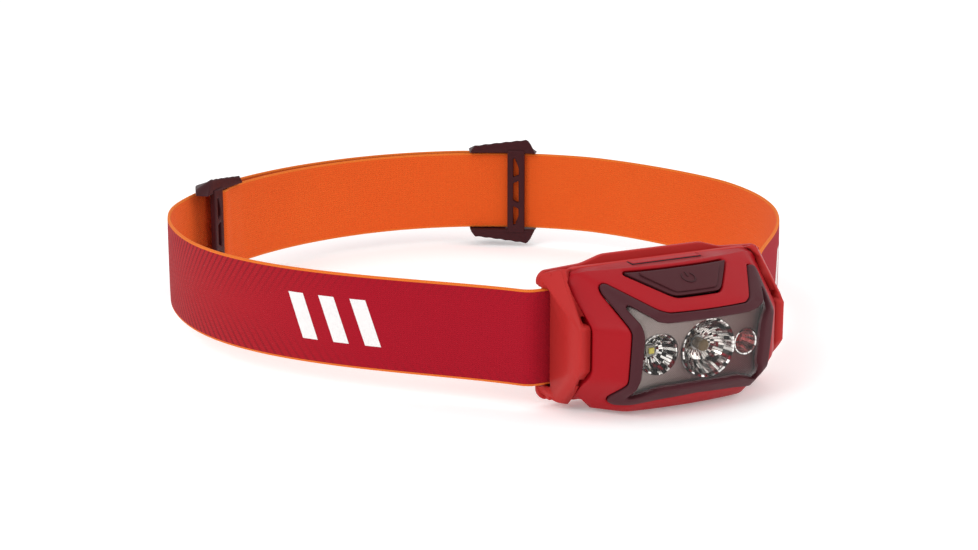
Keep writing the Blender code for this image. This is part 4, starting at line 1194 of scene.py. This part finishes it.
def build_studio():
    """A pale floor, a white world, three soft lights and the camera."""
    bm = bmesh.new()
    corners = [(-3.0, -3.0), (3.0, -3.0), (3.0, 3.0), (-3.0, 3.0)]
    bm.faces.new([bm.verts.new((x, y, FLOOR_Z)) for x, y in corners])
    mat, tree, shader = new_material("floor_white")
    soft = noise(tree, object_place(tree), 3.0)
    wire(tree, shader.inputs, {
        "Base Color": mix_colours(tree, soft, (0.93, 0.93, 0.93, 1), (0.96, 0.96, 0.96, 1)),
        "Roughness": 0.9,
        "Emission Color": (1.0, 1.0, 1.0, 1.0),
        "Emission Strength": 0.22})
    add_object("floor", bm, mat)
    world = bpy.data.worlds.new("studio")
    world.use_nodes = True
    tree = world.node_tree
    seen = node(tree, "ShaderNodeLightPath").outputs["Is Camera Ray"]
    wire(tree, tree.nodes["Background"].inputs, {
        "Color": (1.0, 1.0, 1.0, 1.0),
        "Strength": math_node(tree, "MULTIPLY_ADD", seen, 0.3, 0.8)})
    bpy.context.scene.world = world
    bpy.context.scene.view_settings.view_transform = "Standard"
    add_light("key", (-0.75, -0.3, 0.6), 0.5, 2.9)
    add_light("fill", (0.75, -0.45, 0.45), 0.7, 2.0)
    add_light("top", (0.0, 0.2, 0.95), 0.9, 1.0)
    camera_data = bpy.data.cameras.new("camera")
    camera_data.sensor_width = 36.0
    camera_data.lens = 75.5
    camera = bpy.data.objects.new("camera", camera_data)
    bpy.context.collection.objects.link(camera)
    camera.location = (-0.2672, -0.4344, 0.1421)
    camera.rotation_euler = (math.radians(90 - 14.4), 0.0, math.radians(-27.0))
    bpy.context.scene.camera = camera


def add_light(name, location, size, power):
    """A square soft light aimed at the middle of the lamp."""
    data = bpy.data.lights.new(name, "AREA")
    data.size = size
    data.energy = power
    light = bpy.data.objects.new(name, data)
    light.location = location
    light.rotation_euler = (Vector((0.0, 0.05, 0.0)) - Vector(location)).to_track_quat("-Z", "Y").to_euler()
    bpy.context.collection.objects.link(light)


# --- assembly ---

def build_all():
    """Make the materials, then the pieces from the strap inward, then the studio."""
    red = moulded("bracket_red", linear(176, 40, 38), 0.45)
    red_body = moulded("housing_red", linear(160, 14, 25), 0.42)
    dark = moulded("adjuster_brown", linear(58, 22, 26), 0.45)
    frame_brown = moulded("frame_brown", linear(72, 32, 38), 0.5)
    button_brown = moulded("button_brown", linear(74, 34, 39), 0.62, grain=0.25)
    symbol_brown = moulded("symbol_brown", linear(60, 28, 32), 0.5)
    clear = clear_material("clear_plastic_look", (0.98, 0.97, 0.96, 1.0))
    panel = ribbed_panel_material("panel_ribs")
    thread = moulded("thread", linear(200, 70, 40), 0.8, grain=0.6)
    silver = reflective_material("reflective_print")

    path = loop_path()
    lengths = lengths_along(path)
    lamp = lamp_length(path, lengths)
    outer = strap_outer_material("strap_outer", *((lamp + reach) * MM for reach in CHEVRONS_AND_PAINTED_LIGHT))
    strap_materials = [outer, strap_inner_material("strap_inner"), strap_edge_material("strap_edge")]

    build_bracket(red)
    settle(band("strap_loop", path, strap_materials), "bracket", "strap_fabric", "headband_strap")
    build_marks(path, lengths, silver)
    for side in ("left", "right"):
        build_link(side, strap_materials, thread)
        build_adjuster(side, dark)
    build_housing(red_body)
    build_frame_and_window(frame_brown, clear)
    build_panel(panel)
    # painted shade: the well's wall is coloured a near-black red
    build_well(moulded("well_painted_shade", linear(48, 10, 16), 0.35, 0.2))
    build_optics(clear, clear_material("ruby_plastic_look", (0.93, 0.62, 0.62, 1.0)))
    build_emitters(moulded("emitter_base", linear(150, 146, 138), 0.4, 0.3),
                   moulded("spot_eye", linear(104, 86, 62), 0.3, 0.3),
                   moulded("phosphor_look", linear(214, 200, 96), 0.5, 0.4))
    build_button(button_brown, symbol_brown)

    steel = moulded("steel_look", linear(190, 190, 188), 0.3, 0.2, 1.0)
    spring = moulded("spring_look", linear(176, 174, 168), 0.35, 0.2, 1.0)
    nickel = moulded("nickel_look", linear(205, 198, 184), 0.25, 0.1, 1.0)
    case = moulded("case_look", linear(52, 50, 54), 0.5, 0.3)
    cell = cell_material("cell_look")
    board = board_material("board_look")
    black = moulded("chip_look", linear(28, 28, 30), 0.45, 0.3)
    ferrite = moulded("ferrite_look", linear(60, 58, 58), 0.7, 0.5)
    sink = moulded("sink_look", linear(205, 206, 208), 0.4, 0.3, 1.0)
    red_chip = moulded("red_chip_look", linear(170, 30, 30), 0.35, 0.2)
    kept = {"hinge_pin": (steel, 0.0), "detent_spring": (spring, 0.0), "switch_plunger": (steel, 0.0),
            "board_screw_left": (steel, 0.0), "board_screw_right": (steel, 0.0), "battery_case": (case, 0.2),
            "contact_plate_left": (nickel, 0.1), "contact_plate_right": (nickel, 0.1),
            "main_circuit_board": (board, 0.1), "control_chip": (black, 0.1), "tact_switch": (black, 0.05),
            "power_inductor": (ferrite, 0.15), "heat_sink": (sink, 0.1), "red_led": (red_chip, 0.08)}
    for row in ("top", "middle", "bottom"):
        kept["battery_cell_" + row] = (cell, 0.0)
        kept["contact_spring_" + row] = (spring, 0.0)
    finish_cad_nodes(kept)
    build_studio()


build_all()
